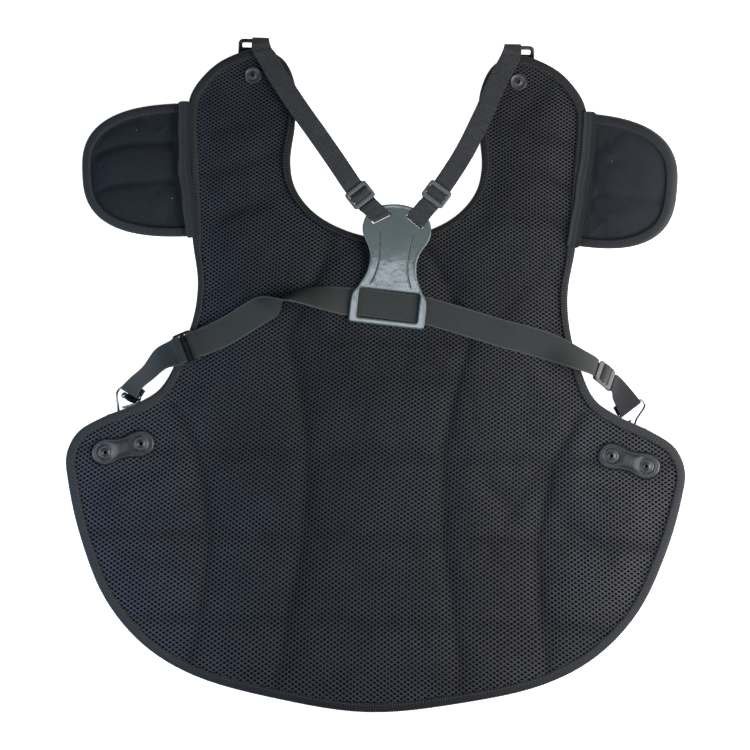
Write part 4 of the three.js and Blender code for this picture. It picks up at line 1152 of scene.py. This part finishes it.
def woven(route, row):  # the route past a slider's outer bars on one face and its middle bar on the other
    frames = strapFrames(route, 1)
    middle, along, normal = (frames[key][row] for key in ("middle", "along", "normal"))
    square = np.cross(normal, along)
    bearing = math.degrees(math.atan2(square[1], square[0]))
    raised = math.degrees(math.asin(square[2]))
    rows = []
    for past, lift in strap["weave"]:
        at = middle + along * past * strap["sliderPitch"] + normal * lift * strap["weaveHeight"]
        rows.append((*at, bearing, raised, 1))
    spot = Matrix.Translation(middle) @ Matrix(np.column_stack([along, square, normal]).tolist()).to_4x4()
    return list(route[:row]) + rows + list(route[row + 1:]), spot


def foldedBack(frames, drop):  # carried round a bar at the end and back along the other face
    end = {key: value[-1] for key, value in frames.items()}
    angle = np.pi * (np.arange(strap["foldSteps"]) + 1)[:, None] / strap["foldSteps"]
    rise = end["normal"] * (np.cos(angle) - 1) * drop / 2
    bend = end["middle"] + rise + end["along"] * np.sin(angle) * abs(drop) / 2
    facing = end["normal"] * np.cos(angle) + end["along"] * np.sin(angle) * np.sign(drop)
    near = np.linalg.norm(frames["middle"][:-1] - end["middle"], axis=1) < strap["tail"]
    back = {key: value[:-1][near][::-1] for key, value in frames.items()}
    return {
        "middle": np.vstack([frames["middle"], bend, back["middle"] - back["normal"] * drop]),
        "side": np.vstack([frames["side"], np.tile(end["side"], (len(bend), 1)), back["side"]]),
        "normal": np.vstack([frames["normal"], facing, -back["normal"]]),
    }


def ribbon(name, frames, size, look, bow=0.0, wander=0.0, end=0.0, fine=1.0, crease=0.0):
    width, thick = size
    across, height = np.array(strap["across"]), np.array(strap["thickness"])
    x = np.concatenate([across, across[::-1]])
    z = np.concatenate([height, -height[::-1]])
    arch = bow * (1 - x ** 2) - crease * np.exp(-((x - strap["creaseAt"]) / strap["creaseHalf"]) ** 2)
    middle, side, normal = frames["middle"], frames["side"], frames["normal"]
    run = runOf(middle)
    sway = wander * (np.sin(run / 13.0) * 0.6 + np.sin(run / 5.9 + 0.8) * 0.4)
    # the corners are rounded over the ends
    rest = np.clip(1 - np.minimum(run, run[-1] - run) / max(end, 0.001), 0, 1)
    half = width / 2 - end * (1 - np.sqrt(1 - strap["cornerShare"] * rest ** 2))
    rows = middle[:, None] + side[:, None] * (x[:, None] * half[:, None, None] + sway[:, None, None])
    rows = rows + normal[:, None] * (z * thick / 2 + arch)[:, None]
    uv = np.column_stack([np.tile((x + 1) * width / 2, len(middle)), np.repeat(run * fine, len(x))])
    faces = tubeFaces(len(middle), len(x))
    made = toMesh(name, rows.reshape(-1, 3), faces, [look], uv, strap["sharp"])
    outward(made)
    return made


def seamTape(name, side):
    share = np.linspace(-1, 1, cap["tapeKnots"])
    along = share * cap["hingeHalf"]
    y = cap["up"] + along
    x = side * (cap["across"] + along * math.tan(math.radians(cap["lean"]))) + skewAt(y)
    tilt = max(cap["lift"][name], 0) / 2  # leans half as much as a cap that is lifted
    clear = 1.5 * body["gap"] + body["tape"] / 2 + cap["tapeWidth"] / 2 * math.sin(math.radians(tilt))
    z = restHeight(x, y) + bindingTop + clear
    stray = np.interp(share, np.linspace(-1, 1, len(cap["stray"][name])), cap["stray"][name])
    swing = np.degrees(np.arctan(np.gradient(stray, y)))
    route = [(a, b, c, -side * cap["lean"] - d, side * tilt) for a, b, c, d in zip(x + stray, y, z, swing)]
    frames = strapFrames(route, cap["tapeSteps"])
    size = (cap["tapeWidth"], body["tape"])
    made = ribbon(
        name + "CapSeamTape", frames, size, tapeFinish, cap["tapeBow"], cap["tapeSway"], cap["tapeEnd"],
        cap["fineRib"], cap["tapeCrease"])
    declare(made, "tape", name + "_cap_seam_tape")
    sewn = slice(cap["bareEnds"], -cap["bareEnds"])
    middle, across, normal = (frames[key][sewn] for key in ("middle", "side", "normal"))
    top = middle + normal * (body["tape"] / 2 + tape["stitchUp"])
    for edge in (-cap["tapeStitch"], cap["tapeStitch"]):
        stitchPaths.append((top + across * cap["tapeWidth"] * edge, normal, False))


for name, side in bothSides:
    seamTape(name, side)
sewPaths("bindingStitches")
print("tapes sewn")


# the moulded plate where the straps meet: u across, v along from its foot

plate = {
    "across": 6.0, "up": 45.4, "under": 26.9, "turn": -5.0, "thick": 3.2,
    "side": [
        (33.8, 24), (28.5, 34), (23, 46), (21.3, 58), (23.5, 68), (29, 78), (31, 87), (28, 98), (19, 106),
        (0, 109.6),
    ],
    "sideSteps": 160, "edgeStep": 1.2, "slotStep": 0.9, "spacing": 1.5, "sharp": 50,
    "footHalf": 34.4, "corner": 3.0, "cornerTurn": 1.4, "cornerSteps": 6,
    "window": (27.5, 5.0, 31.5, 2.0),  # half its width, from, to, corner
    # the slots: the strap's bar, and the hole that shows, which sits a little towards the strap
    "slot": {"across": 15.0, "along": 95.4, "turn": 33.0, "bar": 2.1},
    "hole": {"length": 18.4, "width": 3.8, "off": 0.4, "corner": 1.8},
    "bow": [(-2, -1.0), (18, -0.15), (36, 0.6), (60, 1.7), (75, 2.1), (90, 2.15), (112, 1.85)], "crown": 1.8,
    "rimWide": 2.2, "rimUp": 0.16, "rimFrom": 5.0, "edge": 1.1, "underEdge": 0.66,
    "groove": [(15.0, 84.0), (13.4, 70.0), (13.0, 58.0), (14.8, 46.0), (18.5, 36.0)],
    "grooveDeep": 0.2, "grooveHalf": 0.34, "grooveClear": (1.6, 2.0), "grooveLines": (-0.9, -0.35, 0, 0.35, 0.9),
}


def roundedLoop(halfU, low, high, corner, steps=5):
    middles = [(halfU - corner, low + corner), (halfU - corner, high - corner),
               (corner - halfU, high - corner), (corner - halfU, low + corner)]
    loop = []
    for k, (u, v) in enumerate(middles):
        for angle in np.linspace(-90 + 90 * k, 90 * k, steps):
            turn = math.radians(angle)
            loop.append((u + corner * math.cos(turn), v + corner * math.sin(turn)))
    return np.array(loop)


def plateMatrix():
    spot = Matrix.Translation((plate["across"], plate["up"], plate["under"] + plate["thick"] / 2))
    return spot @ Matrix.Rotation(math.radians(plate["turn"]), 4, "Z")


def plateSlot(side):
    slot, hole = plate["slot"], plate["hole"]
    low, high = hole["off"] - hole["width"] / 2, hole["off"] + hole["width"] / 2
    loop = roundedLoop(hole["length"] / 2, low, high, hole["corner"])
    angle = -side * math.radians(slot["turn"])
    spin = np.array([[math.cos(angle), -math.sin(angle)], [math.sin(angle), math.cos(angle)]])
    return loop @ spin.T + (side * slot["across"], slot["along"])


# plan, triangles and distance from the edges of a plate with holes
def plateGrid(outer, holes, spacing, insets, extra=None, clear=None):
    loops = [outer] + holes

    def edgeGap(p):
        return np.minimum.reduce([loopDistance(*p.T, loop) for loop in loops])

    def isPlate(p):
        keep = isInside(*p.T, outer)
        for hole in holes:
            keep &= ~isInside(*p.T, hole)
        return keep

    filled = []
    for loop in loops:
        inward = inwardOf(loop) * (-1 if loop is outer else 1)
        for reach in insets:
            ring = loop + inward * reach
            filled.append(ring[isPlate(ring) & (edgeGap(ring) > reach * 0.9)])
    grid = staggered(outer.min(0), outer.max(0), spacing)
    grid = grid[isPlate(grid)]
    grid = grid[edgeGap(grid) > insets[-1] + spacing * 0.6]
    if extra is not None:
        grid = np.vstack([grid[clear(grid)], extra])
    plan, faces = fillPlan(loops, np.vstack(filled + [grid]))
    return plan, faces, edgeGap(plan)


def eased(far, edge):  # how far a rounded edge drops below the face
    return edge - np.sqrt(np.maximum(edge ** 2 - np.maximum(edge - far, 0) ** 2, 0))


def makeBackPlate():
    foot, corner = plate["footHalf"], plate["corner"]
    right = [(foot, corner)] + plate["side"]
    left = [(-u, v) for u, v in right[::-1][1:]]
    sides = splineAt(right + left, np.linspace(0, 1, plate["sideSteps"]), plain=True)
    turnIn = np.linspace(0, plate["cornerTurn"], plate["cornerSteps"])
    start = np.column_stack([foot - corner + corner * np.sin(turnIn), corner - corner * np.cos(turnIn)])
    outer, _ = evenly(np.vstack([start, sides, start[::-1] * (-1, 1)]), plate["edgeStep"])
    window, _ = evenly(roundedLoop(*plate["window"]), plate["edgeStep"])
    slots = [evenly(plateSlot(side), plate["slotStep"])[0] for side in (-1, 1)]
    line = splineAt(plate["groove"], np.linspace(0, 1, 60))
    low, high = line[-1, 1], line[0, 1]
    clearU, clearV = plate["grooveClear"]

    def grooveGap(u, v):
        return np.abs(np.abs(u) - np.interp(v, line[::-1, 1], line[::-1, 0]))

    def offGroove(p):
        return (grooveGap(*p.T) > clearU) | (p[:, 1] < low - clearV) | (p[:, 1] > high + clearV)

    extra = np.vstack([(line + (off, 0)) * (side, 1) for side in (-1, 1) for off in plate["grooveLines"]])
    insets = (0.25, 0.6, 1.0, plate["rimWide"] - 0.5, plate["rimWide"] + 0.5)
    plan, faces, far = plateGrid(outer, [window] + slots, plate["spacing"], insets, extra, offGroove)
    u, v = plan.T
    rim = loopDistance(u, v, outer)
    bend = splineAt(plate["bow"], np.linspace(0, 1, 120))
    height = np.interp(v, bend[:, 0], bend[:, 1])
    raised = plate["rimUp"] * (1 - smooth(rim - plate["rimWide"] + 0.5))
    raised = raised * smooth((v - plate["rimFrom"]) / plate["rimFrom"])  # the foot has no raised rim
    ends = smooth((v - low + 0.5) / 3) * smooth((high + 0.5 - v) / 3)
    cut = plate["grooveDeep"] * np.exp(-(grooveGap(u, v) / plate["grooveHalf"]) ** 2) * ends
    upper = height + plate["thick"] / 2 - eased(far, plate["edge"]) + raised - cut
    lower = height - plate["thick"] / 2 + eased(far, plate["underEdge"])
    verts, solid = closePlate(plan, faces, upper, lower)
    # the groove faces get the black moulding finish: painted shade in the groove
    u, v = plan[faces].mean(1).T
    indexes = np.zeros(len(solid), int)
    indexes[:len(faces)] = (grooveGap(u, v) < plate["grooveHalf"]) & (v > low) & (v < high)
    finishes = [plateFinish, glossFinish]
    made = toMesh("backPlate", moved(plateMatrix(), verts), solid, finishes, None, plate["sharp"], indexes)
    declare(made, "grey_plastic", "back_plate")


slider = {
    "bar": 4.6, "middle": 3.8, "side": 2.7, "reach": 9.0, "thick": 2.4, "edge": 1.0, "ease": 0.15, "corner": 3.0,
    "slotCorner": 0.7, "spacing": 1.2, "edgeStep": 0.8, "insets": (0.2, 0.5, 1.0), "sharp": 50,
    "swell": (0.25, 2.0),  # how much fuller the bars are, and how far from their edges
}


def makeSlider(name, spot, width, node, look):  # three bars across a strap
    wide = width / 2 + slider["ease"]
    reach, step = slider["reach"], slider["edgeStep"]
    side = wide + slider["side"]
    outer, _ = evenly(roundedLoop(reach, -side, side, slider["corner"]), step)
    slotLow, slotHigh = slider["middle"] / 2, reach - slider["bar"]
    slot = roundedLoop((slotHigh - slotLow) / 2, -wide, wide, slider["slotCorner"])
    holes = [evenly(slot + (way * (slotHigh + slotLow) / 2, 0), step)[0] for way in (-1, 1)]
    plan, faces, far = plateGrid(outer, holes, slider["spacing"], slider["insets"])
    fuller, fullFrom = slider["swell"]
    upper = slider["thick"] / 2 - eased(far, slider["edge"]) + fuller * smooth(far / fullFrom)
    verts, solid = closePlate(plan, faces, upper, -upper)
    made = toMesh(name, moved(spot, verts), solid, [look], sharp=slider["sharp"])
    declare(made, "grey_plastic", node)


makeBackPlate()
print("back plate made")


# shoulder straps and the waist strap

def loopSeat(side):
    return seat(side * body["shoulderRivet"][0], body["shoulderRivet"][1])


def shoulderStrap(name, side):
    spot = loopSeat(side)
    rows = []
    for along, rise, across, bearing, gather in strap["loopTurn"]:
        rows.append((*(spot @ Vector((-side * across, along, rise))), -side * bearing, 0, gather))
    slot = plate["slot"]
    inward = math.radians(90 - side * slot["turn"])
    u = side * slot["across"] + math.cos(inward) * slot["bar"]
    v = slot["along"] + math.sin(inward) * slot["bar"]
    onPlate = plate["crown"] + plate["thick"] / 2 + body["gap"] + strap["web"][1] / 2
    end = (*(plateMatrix() @ Vector((u, v, onPlate))), plate["turn"] - side * slot["turn"], 0, 1)
    route, sliderSpot = woven(rows + strap[name] + [end], len(rows) + strap["sliderRow"])
    makeSlider(name + "ShoulderSlider", sliderSpot, strap["web"][0], name + "_shoulder_slider", sliderFinish)
    drop = plate["thick"] + 2 * body["gap"] + strap["web"][1]
    frames = foldedBack(strapFrames(route, strap["steps"]), drop)
    made = ribbon(name + "ShoulderStrap", frames, strap["web"], webFinish, wander=strap["webSway"])
    declare(made, "webbing", name + "_shoulder_strap")


def waistStrap():
    route, rightSpot = woven(strap["waist"], strap["waistRows"]["right"])
    route, leftSpot = woven(route, strap["waistRows"]["left"])
    makeSlider("leftWaistSlider", leftSpot, strap["elastic"][0], "left_waist_slider", glossFinish)
    makeSlider("rightWaistSlider", rightSpot, strap["elastic"][0], "right_waist_slider", sliderFinish)
    frames = strapFrames(route, strap["steps"])
    drop = 2 * strap["wire"] + 2 * body["gap"] + strap["elastic"][1]
    count = len(frames["middle"])
    turned = {key: value[::-1] * (-1 if key == "along" else 1) for key, value in frames.items()}
    tail = foldedBack(turned, -drop)
    whole = foldedBack(frames, drop)
    joined = {key: np.vstack([tail[key][count:][::-1], whole[key]]) for key in ("middle", "side", "normal")}
    made = ribbon("waistStrap", joined, strap["elastic"], elasticFinish, wander=strap["elasticSway"])
    declare(made, "webbing", "waist_strap")


for name, side in bothSides:
    shoulderStrap(name, side)
waistStrap()
print("straps and sliders made")


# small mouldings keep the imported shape, with their corners eased

easing = {"loop": (0.7, 3, 0.4), "anchor": (0.4, 2, 0.0)}  # width of the rounding, its steps, how much fuller


def easedCopy(node, name, ease):
    width, segments, fuller = easing[ease]
    work = bmesh.new()
    work.from_mesh(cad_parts[node].data)
    bmesh.ops.remove_doubles(work, verts=work.verts, dist=2e-6)
    bmesh.ops.dissolve_limit(work, angle_limit=math.radians(3), verts=work.verts, edges=work.edges)
    corners = [e for e in work.edges if e.is_manifold and e.calc_face_angle(0) > math.radians(40)]
    bmesh.ops.bevel(work, geom=corners, offset=width * 0.001, segments=segments, profile=0.5, affect="EDGES",
                    clamp_overlap=True)
    bmesh.ops.recalc_face_normals(work, faces=work.faces)
    work.normal_update()
    for vert in work.verts:
        vert.co += vert.normal * fuller * 0.001
    mesh = bpy.data.meshes.new(name)
    work.to_mesh(mesh)
    work.free()
    mesh.materials.append(glossFinish)
    mesh.shade_smooth()
    mesh.set_sharp_from_angle(angle=math.radians(40))
    declare(linked(name, mesh), "black_plastic", node)


for name, _ in bothSides:
    easedCopy(name + "_shoulder_loop", name + "ShoulderLoop", "loop")
    easedCopy(name + "_side_anchor", name + "SideAnchor", "anchor")
print("loops and anchors eased")


# waisted plates on the flanks

flank = {
    "end": 12.3, "waist": 9.9, "thick": 3.0, "edge": 1.3, "lineAt": 3.0, "lineDeep": 0.07, "spacing": 1.2,
    "lineHalf": 0.4, "hole": 2.1, "holeSides": 16, "step": 0.9, "sharp": 60,
    "dish": (0.2, 5.6, 1.6),  # round the rivets: its depth, its reach, and how far it takes to fade
    "crown": (0.35, 8.0, 7.0),  # its height, and how far it takes to rise from the edge and from the dish
}


def flankHalf():
    (a, b), (c, d) = body["flankRivets"]
    return math.hypot(c - a, d - b) / 2


def flankMatrix(side):
    (a, b), (c, d) = body["flankRivets"]
    turn = side * math.atan((d - b) / (c - a))
    return seat(side * (a + c) / 2, (b + d) / 2) @ Matrix.Rotation(turn, 4, "Z")


def bezier(p, count):
    t = np.linspace(0, 1, count)[:, None]
    p = np.array(p, float)
    return p[0] * (1 - t) ** 3 + 3 * p[1] * t * (1 - t) ** 2 + 3 * p[2] * t ** 2 * (1 - t) + p[3] * t ** 3


def makeFlank(name, side):
    reach, end, waist = flankHalf(), flank["end"], flank["waist"]
    arc = np.radians(np.linspace(-90, 90, 24))
    right = np.column_stack([reach + end * np.cos(arc), end * np.sin(arc)])
    top = np.vstack([
        bezier([(reach, end), (reach / 2, end), (reach / 2, waist), (0, waist)], 10)[1:],
        bezier([(0, waist), (-reach / 2, waist), (-reach / 2, end), (-reach, end)], 10)[1:-1],
    ])
    whole = np.vstack([right, top, -right, -top])
    outer, _ = evenly(whole, flank["step"])
    insets = (0.3, 0.7, 1.2, flank["lineAt"] - 0.5, flank["lineAt"], flank["lineAt"] + 0.5)
    turn = np.radians(np.arange(flank["holeSides"]) * 360 / flank["holeSides"])
    hole = np.column_stack([np.cos(turn), np.sin(turn)]) * flank["hole"]
    plan, faces, _ = plateGrid(outer, [hole + (-reach, 0), hole + (reach, 0)], flank["spacing"], insets)
    u, v = plan.T
    rim = loopDistance(u, v, outer)
    line = flank["lineDeep"] * np.exp(-((rim - flank["lineAt"]) / flank["lineHalf"]) ** 2)
    knob = np.minimum(np.hypot(u - reach, v), np.hypot(u + reach, v))
    deep, wide, fade = flank["dish"]
    dish = deep * (1 - smooth((knob - wide) / fade))
    high, fromEdge, fromDish = flank["crown"]
    crown = high * smooth(rim / fromEdge) * smooth((knob - wide) / fromDish)
    base = body["rimHalf"] + body["gap"]
    upper = base + flank["thick"] - eased(rim, flank["edge"]) - line - dish + crown
    verts, solid = closePlate(plan, faces, upper, np.full(len(u), base))
    verts = moved(flankMatrix(side), verts)
    made = toMesh(name + "FlankPlate", verts, solid, [glossFinish], sharp=flank["sharp"])
    declare(made, "black_plastic", name + "_flank_plate")


for name, side in bothSides:
    makeFlank(name, side)
print("flank plates made")


# rivets: one turned shape set at each hole

rivet = {
    "sides": 28,
    # radius and height of the turned caps, from the middle out: a dished snap and a small eyelet
    "snap": [
        (0.0, -4.5), (0.3, -4.5), (1.45, 0.9), (1.8, 1.15), (2.2, 0.95), (3.4, 0.75), (5.4, 0.8),
        (6.0, 0.95), (6.6, 1.35), (7.2, 1.3), (7.7, 0.8), (7.8, 0.2), (7.8, 0.0), (2.0, 0.0),
    ],
    "eyelet": [
        (0.0, -4.5), (0.3, -4.5), (1.55, 0.8), (1.9, 1.15), (2.6, 1.15), (3.1, 0.8), (3.4, 0.45),
        (4.6, 0.4), (5.6, 0.4), (6.3, 0.3), (6.6, 0.1), (6.6, 0.0), (1.8, 0.0),
    ],
    "past": {"snap": 7.2, "eyelet": 2.4},  # how far a post runs on past what it holds
    "washer": (5.0, 1.8), "eye": 1.3, "sharp": 55,
}


def rivetShape(name, kind, length):
    wide, thick = rivet["washer"]
    post = rivet[kind][-1][0]
    profile = rivet[kind] + [(post, -length), (wide, -length), (wide, -length - thick), (0.0, -length - thick)]
    sides = rivet["sides"]
    turns = [2 * math.pi * k / sides for k in range(sides)]
    verts = [(r * math.cos(turn), r * math.sin(turn), height) for r, height in profile for turn in turns]
    made = toMesh(name, verts, tubeFaces(len(profile), sides, capped=False), [rivetFinish])
    work = bmesh.new()
    work.from_mesh(made.data)
    bmesh.ops.remove_doubles(work, verts=work.verts, dist=1e-6)
    bmesh.ops.dissolve_degenerate(work, dist=1e-7, edges=work.edges)
    bmesh.ops.recalc_face_normals(work, faces=work.faces)
    work.to_mesh(made.data)
    work.free()
    # the faces round the eye get a near-black finish: painted shade in the hole
    layer = made.data.attributes.new("eye", "BOOLEAN", "FACE")
    for face in made.data.polygons:
        layer.data[face.index].value = face.center.xy.length < rivet["eye"] * 0.001
    return made


def onPointsTree():  # copies of a shape on points, each stood up by its own up attribute
    wire, given = startTree("setRivets", {"Shape": "Object", "Finish": "Material", "Eye": "Material"})
    up = wire.node("GeometryNodeInputNamedAttribute", {"data_type": "FLOAT_VECTOR"}, {"Name": "up"})
    eye = wire.node("GeometryNodeInputNamedAttribute", {"data_type": "BOOLEAN"}, {"Name": "eye"})
    stood = wire.node("FunctionNodeAlignRotationToVector", {"axis": "Z"}, {"Vector": up})
    shape = wire.node("GeometryNodeObjectInfo", None, {"Object": given["Shape"]}, "Geometry")
    copied = {"Points": given["Geometry"], "Instance": shape, "Rotation": stood}
    copies = wire.node("GeometryNodeInstanceOnPoints", None, copied)
    return endTree(copies, (given["Finish"], True), (given["Eye"], eye))


def setRivets(name, kind, length, spots, nodes):
    ups = [spot.to_3x3() @ Vector((0, 0, 1)) for spot in spots]
    made = upMesh(name, [spot.translation for spot in spots], [], ups)
    shape = rivetShape(kind + "Shape", kind, length + rivet["past"][kind])
    bakeNodes(made, onPointsTree(), {"Shape": shape, "Finish": rivetFinish, "Eye": shadowBlackFinish})
    bpy.data.objects.remove(shape)
    made.data.set_sharp_from_angle(angle=math.radians(rivet["sharp"]))
    declare(made, "rivet_metal", *nodes)


def shoulderRivets():
    rise = Matrix.Translation((0, 0, body["rimHalf"] + body["gap"]))
    spots = [loopSeat(side) @ rise for _, side in bothSides]
    nodes = [name + "_shoulder_rivet" for name, _ in bothSides]
    setRivets("shoulderRivets", "snap", bindingTop, spots, nodes)


def flankRivets():
    base = body["rimHalf"] + 2 * body["gap"]
    spots, nodes = [], []
    for name, side in bothSides:
        for way, where in ((-1, "inner"), (1, "outer")):
            rise = Matrix.Translation((way * flankHalf(), 0, base + flank["thick"]))
            spots.append(flankMatrix(side) @ rise)
            nodes.append(f"{name}_flank_rivet_{where}")
    setRivets("flankRivets", "eyelet", 2 * base + flank["thick"], spots, nodes)


shoulderRivets()
flankRivets()
print("rivets set")


# bright wire hooks; the left one has a black body, painted shade, with a bead, just past the end of the strap

hook = {
    "left": {"middle": (-221.0, -26.0, 15.5), "way": (0.8, -0.3, 0.45), "half": 8.5, "round": 4.0, "bead": 3.2},
}


def addBall(work, middle, turn, size, index):
    spot = Matrix.Scale(0.001, 4) @ (Matrix.Translation(middle) @ turn @ Matrix.Diagonal((*size, 1)))
    made = bmesh.ops.create_uvsphere(work, u_segments=12, v_segments=8, radius=1.0, matrix=spot)
    for face in {face for vert in made["verts"] for face in vert.link_faces}:
        face.material_index = index


def makeHook(name):
    node = name + "_waist_hook"
    work = bmesh.new()
    work.from_mesh(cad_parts[node].data)
    bmesh.ops.remove_doubles(work, verts=work.verts, dist=2e-6)
    bmesh.ops.join_triangles(work, faces=work.faces, angle_face_threshold=0.7, angle_shape_threshold=3.1)
    bmesh.ops.recalc_face_normals(work, faces=work.faces)
    if name in hook:
        look = hook[name]
        middle, way = Vector(look["middle"]), Vector(look["way"]).normalized()
        turn = way.to_track_quat("Z", "Y").to_matrix().to_4x4()
        # painted shade: a black body where the inside of the hook lies in shadow
        addBall(work, middle, turn, (look["round"], look["round"], look["half"]), 1)
        addBall(work, middle - way * look["half"], turn, [look["bead"]] * 3, 0)
    mesh = bpy.data.meshes.new(name + "WaistHook")
    work.to_mesh(mesh)
    work.free()
    mesh.materials.append(chromeFinish)
    mesh.materials.append(shadowBlackFinish)
    mesh.shade_smooth()
    made = linked(name + "WaistHook", mesh)
    rounded = made.modifiers.new("round", "SUBSURF")
    rounded.levels = 2
    rounded.render_levels = 2
    declare(made, "chrome", node)


for name, _ in bothSides:
    makeHook(name)
print("hooks made")


# stage: white floor, soft overhead light, camera straight above

stage = {
    "tilt": 1.483, "middle": (-0.0027, 0.0008), "height": 0.018, "lens": 300.0, "sensor": 36.0,
    "width": 0.675, "floor": 1.0,
    # area lights: place, size, aim, watts, colour
    "lights": {
        "topSoft": ((0.5, 0.5, 0.75), (0.5, 0.4), (0.22, 0.15, 0.0), 1.1, (1.0, 0.98, 0.96)),
        "window": ((0.0, -0.14, 1.6), (0.40, 0.26), (0.0, 0.0, 0.0), 2.7, (0.83, 0.85, 1.0)),
        "farWindow": ((-0.42, -0.10, 1.6), (0.26, 0.30), (0.0, 0.0, 0.0), 0.5, (1.0, 0.97, 0.94)),
        "nearWindow": ((0.44, -0.06, 1.6), (0.18, 0.34), (0.0, 0.0, 0.0), 0.22, (0.70, 0.86, 1.0)),
        "rightKey": ((0.60, -0.10, 0.48), (0.5, 0.7), (0.25, -0.08, 0.0), 8.2, (1.0, 0.96, 0.93)),
        "leftSky": ((-0.60, -0.26, 0.48), (0.45, 0.45), (-0.27, -0.14, 0.0), 3.7, (0.52, 0.73, 1.0)),
    },
    "world": 0.04,
}


def setStage():
    bpy.ops.mesh.primitive_plane_add(size=6.0, location=(0, 0, -0.0005))
    ground = bpy.context.object
    ground.name = "floor"
    look = bpy.data.materials.new("paleFloor")
    look.use_nodes = True
    shader = look.node_tree.nodes["Principled BSDF"]
    shader.inputs["Base Color"].default_value = rgb(0.9, 0.9, 0.9)
    shader.inputs["Roughness"].default_value = 1.0
    shader.inputs["Emission Color"].default_value = rgb(1, 1, 1)
    shader.inputs["Emission Strength"].default_value = stage["floor"]
    ground.data.materials.append(look)
    for name, (spot, size, aim, watts, colour) in stage["lights"].items():
        lamp = bpy.data.lights.new(name, "AREA")
        lamp.shape = "RECTANGLE"
        lamp.size, lamp.size_y = size
        lamp.energy = watts
        lamp.color = colour
        made = linked(name, lamp)
        made.location = spot
        made.rotation_euler = (Vector(aim) - Vector(spot)).to_track_quat("-Z", "Y").to_euler()
    world = bpy.data.worlds.new("studio")
    world.use_nodes = True
    sky = world.node_tree.nodes["Background"].inputs
    sky["Color"].default_value = rgb(1, 1, 1)
    sky["Strength"].default_value = stage["world"]
    scene.world = world
    lens = bpy.data.cameras.new("camera")
    lens.lens = stage["lens"]
    lens.sensor_width = stage["sensor"]
    camera = linked("camera", lens)
    far = stage["width"] * stage["lens"] / stage["sensor"]
    camera.location = (*stage["middle"], stage["height"] + far)
    camera.rotation_euler = (0, 0, math.radians(stage["tilt"]))
    scene.camera = camera
    scene.view_settings.view_transform = "Standard"


setStage()
print("stage set")
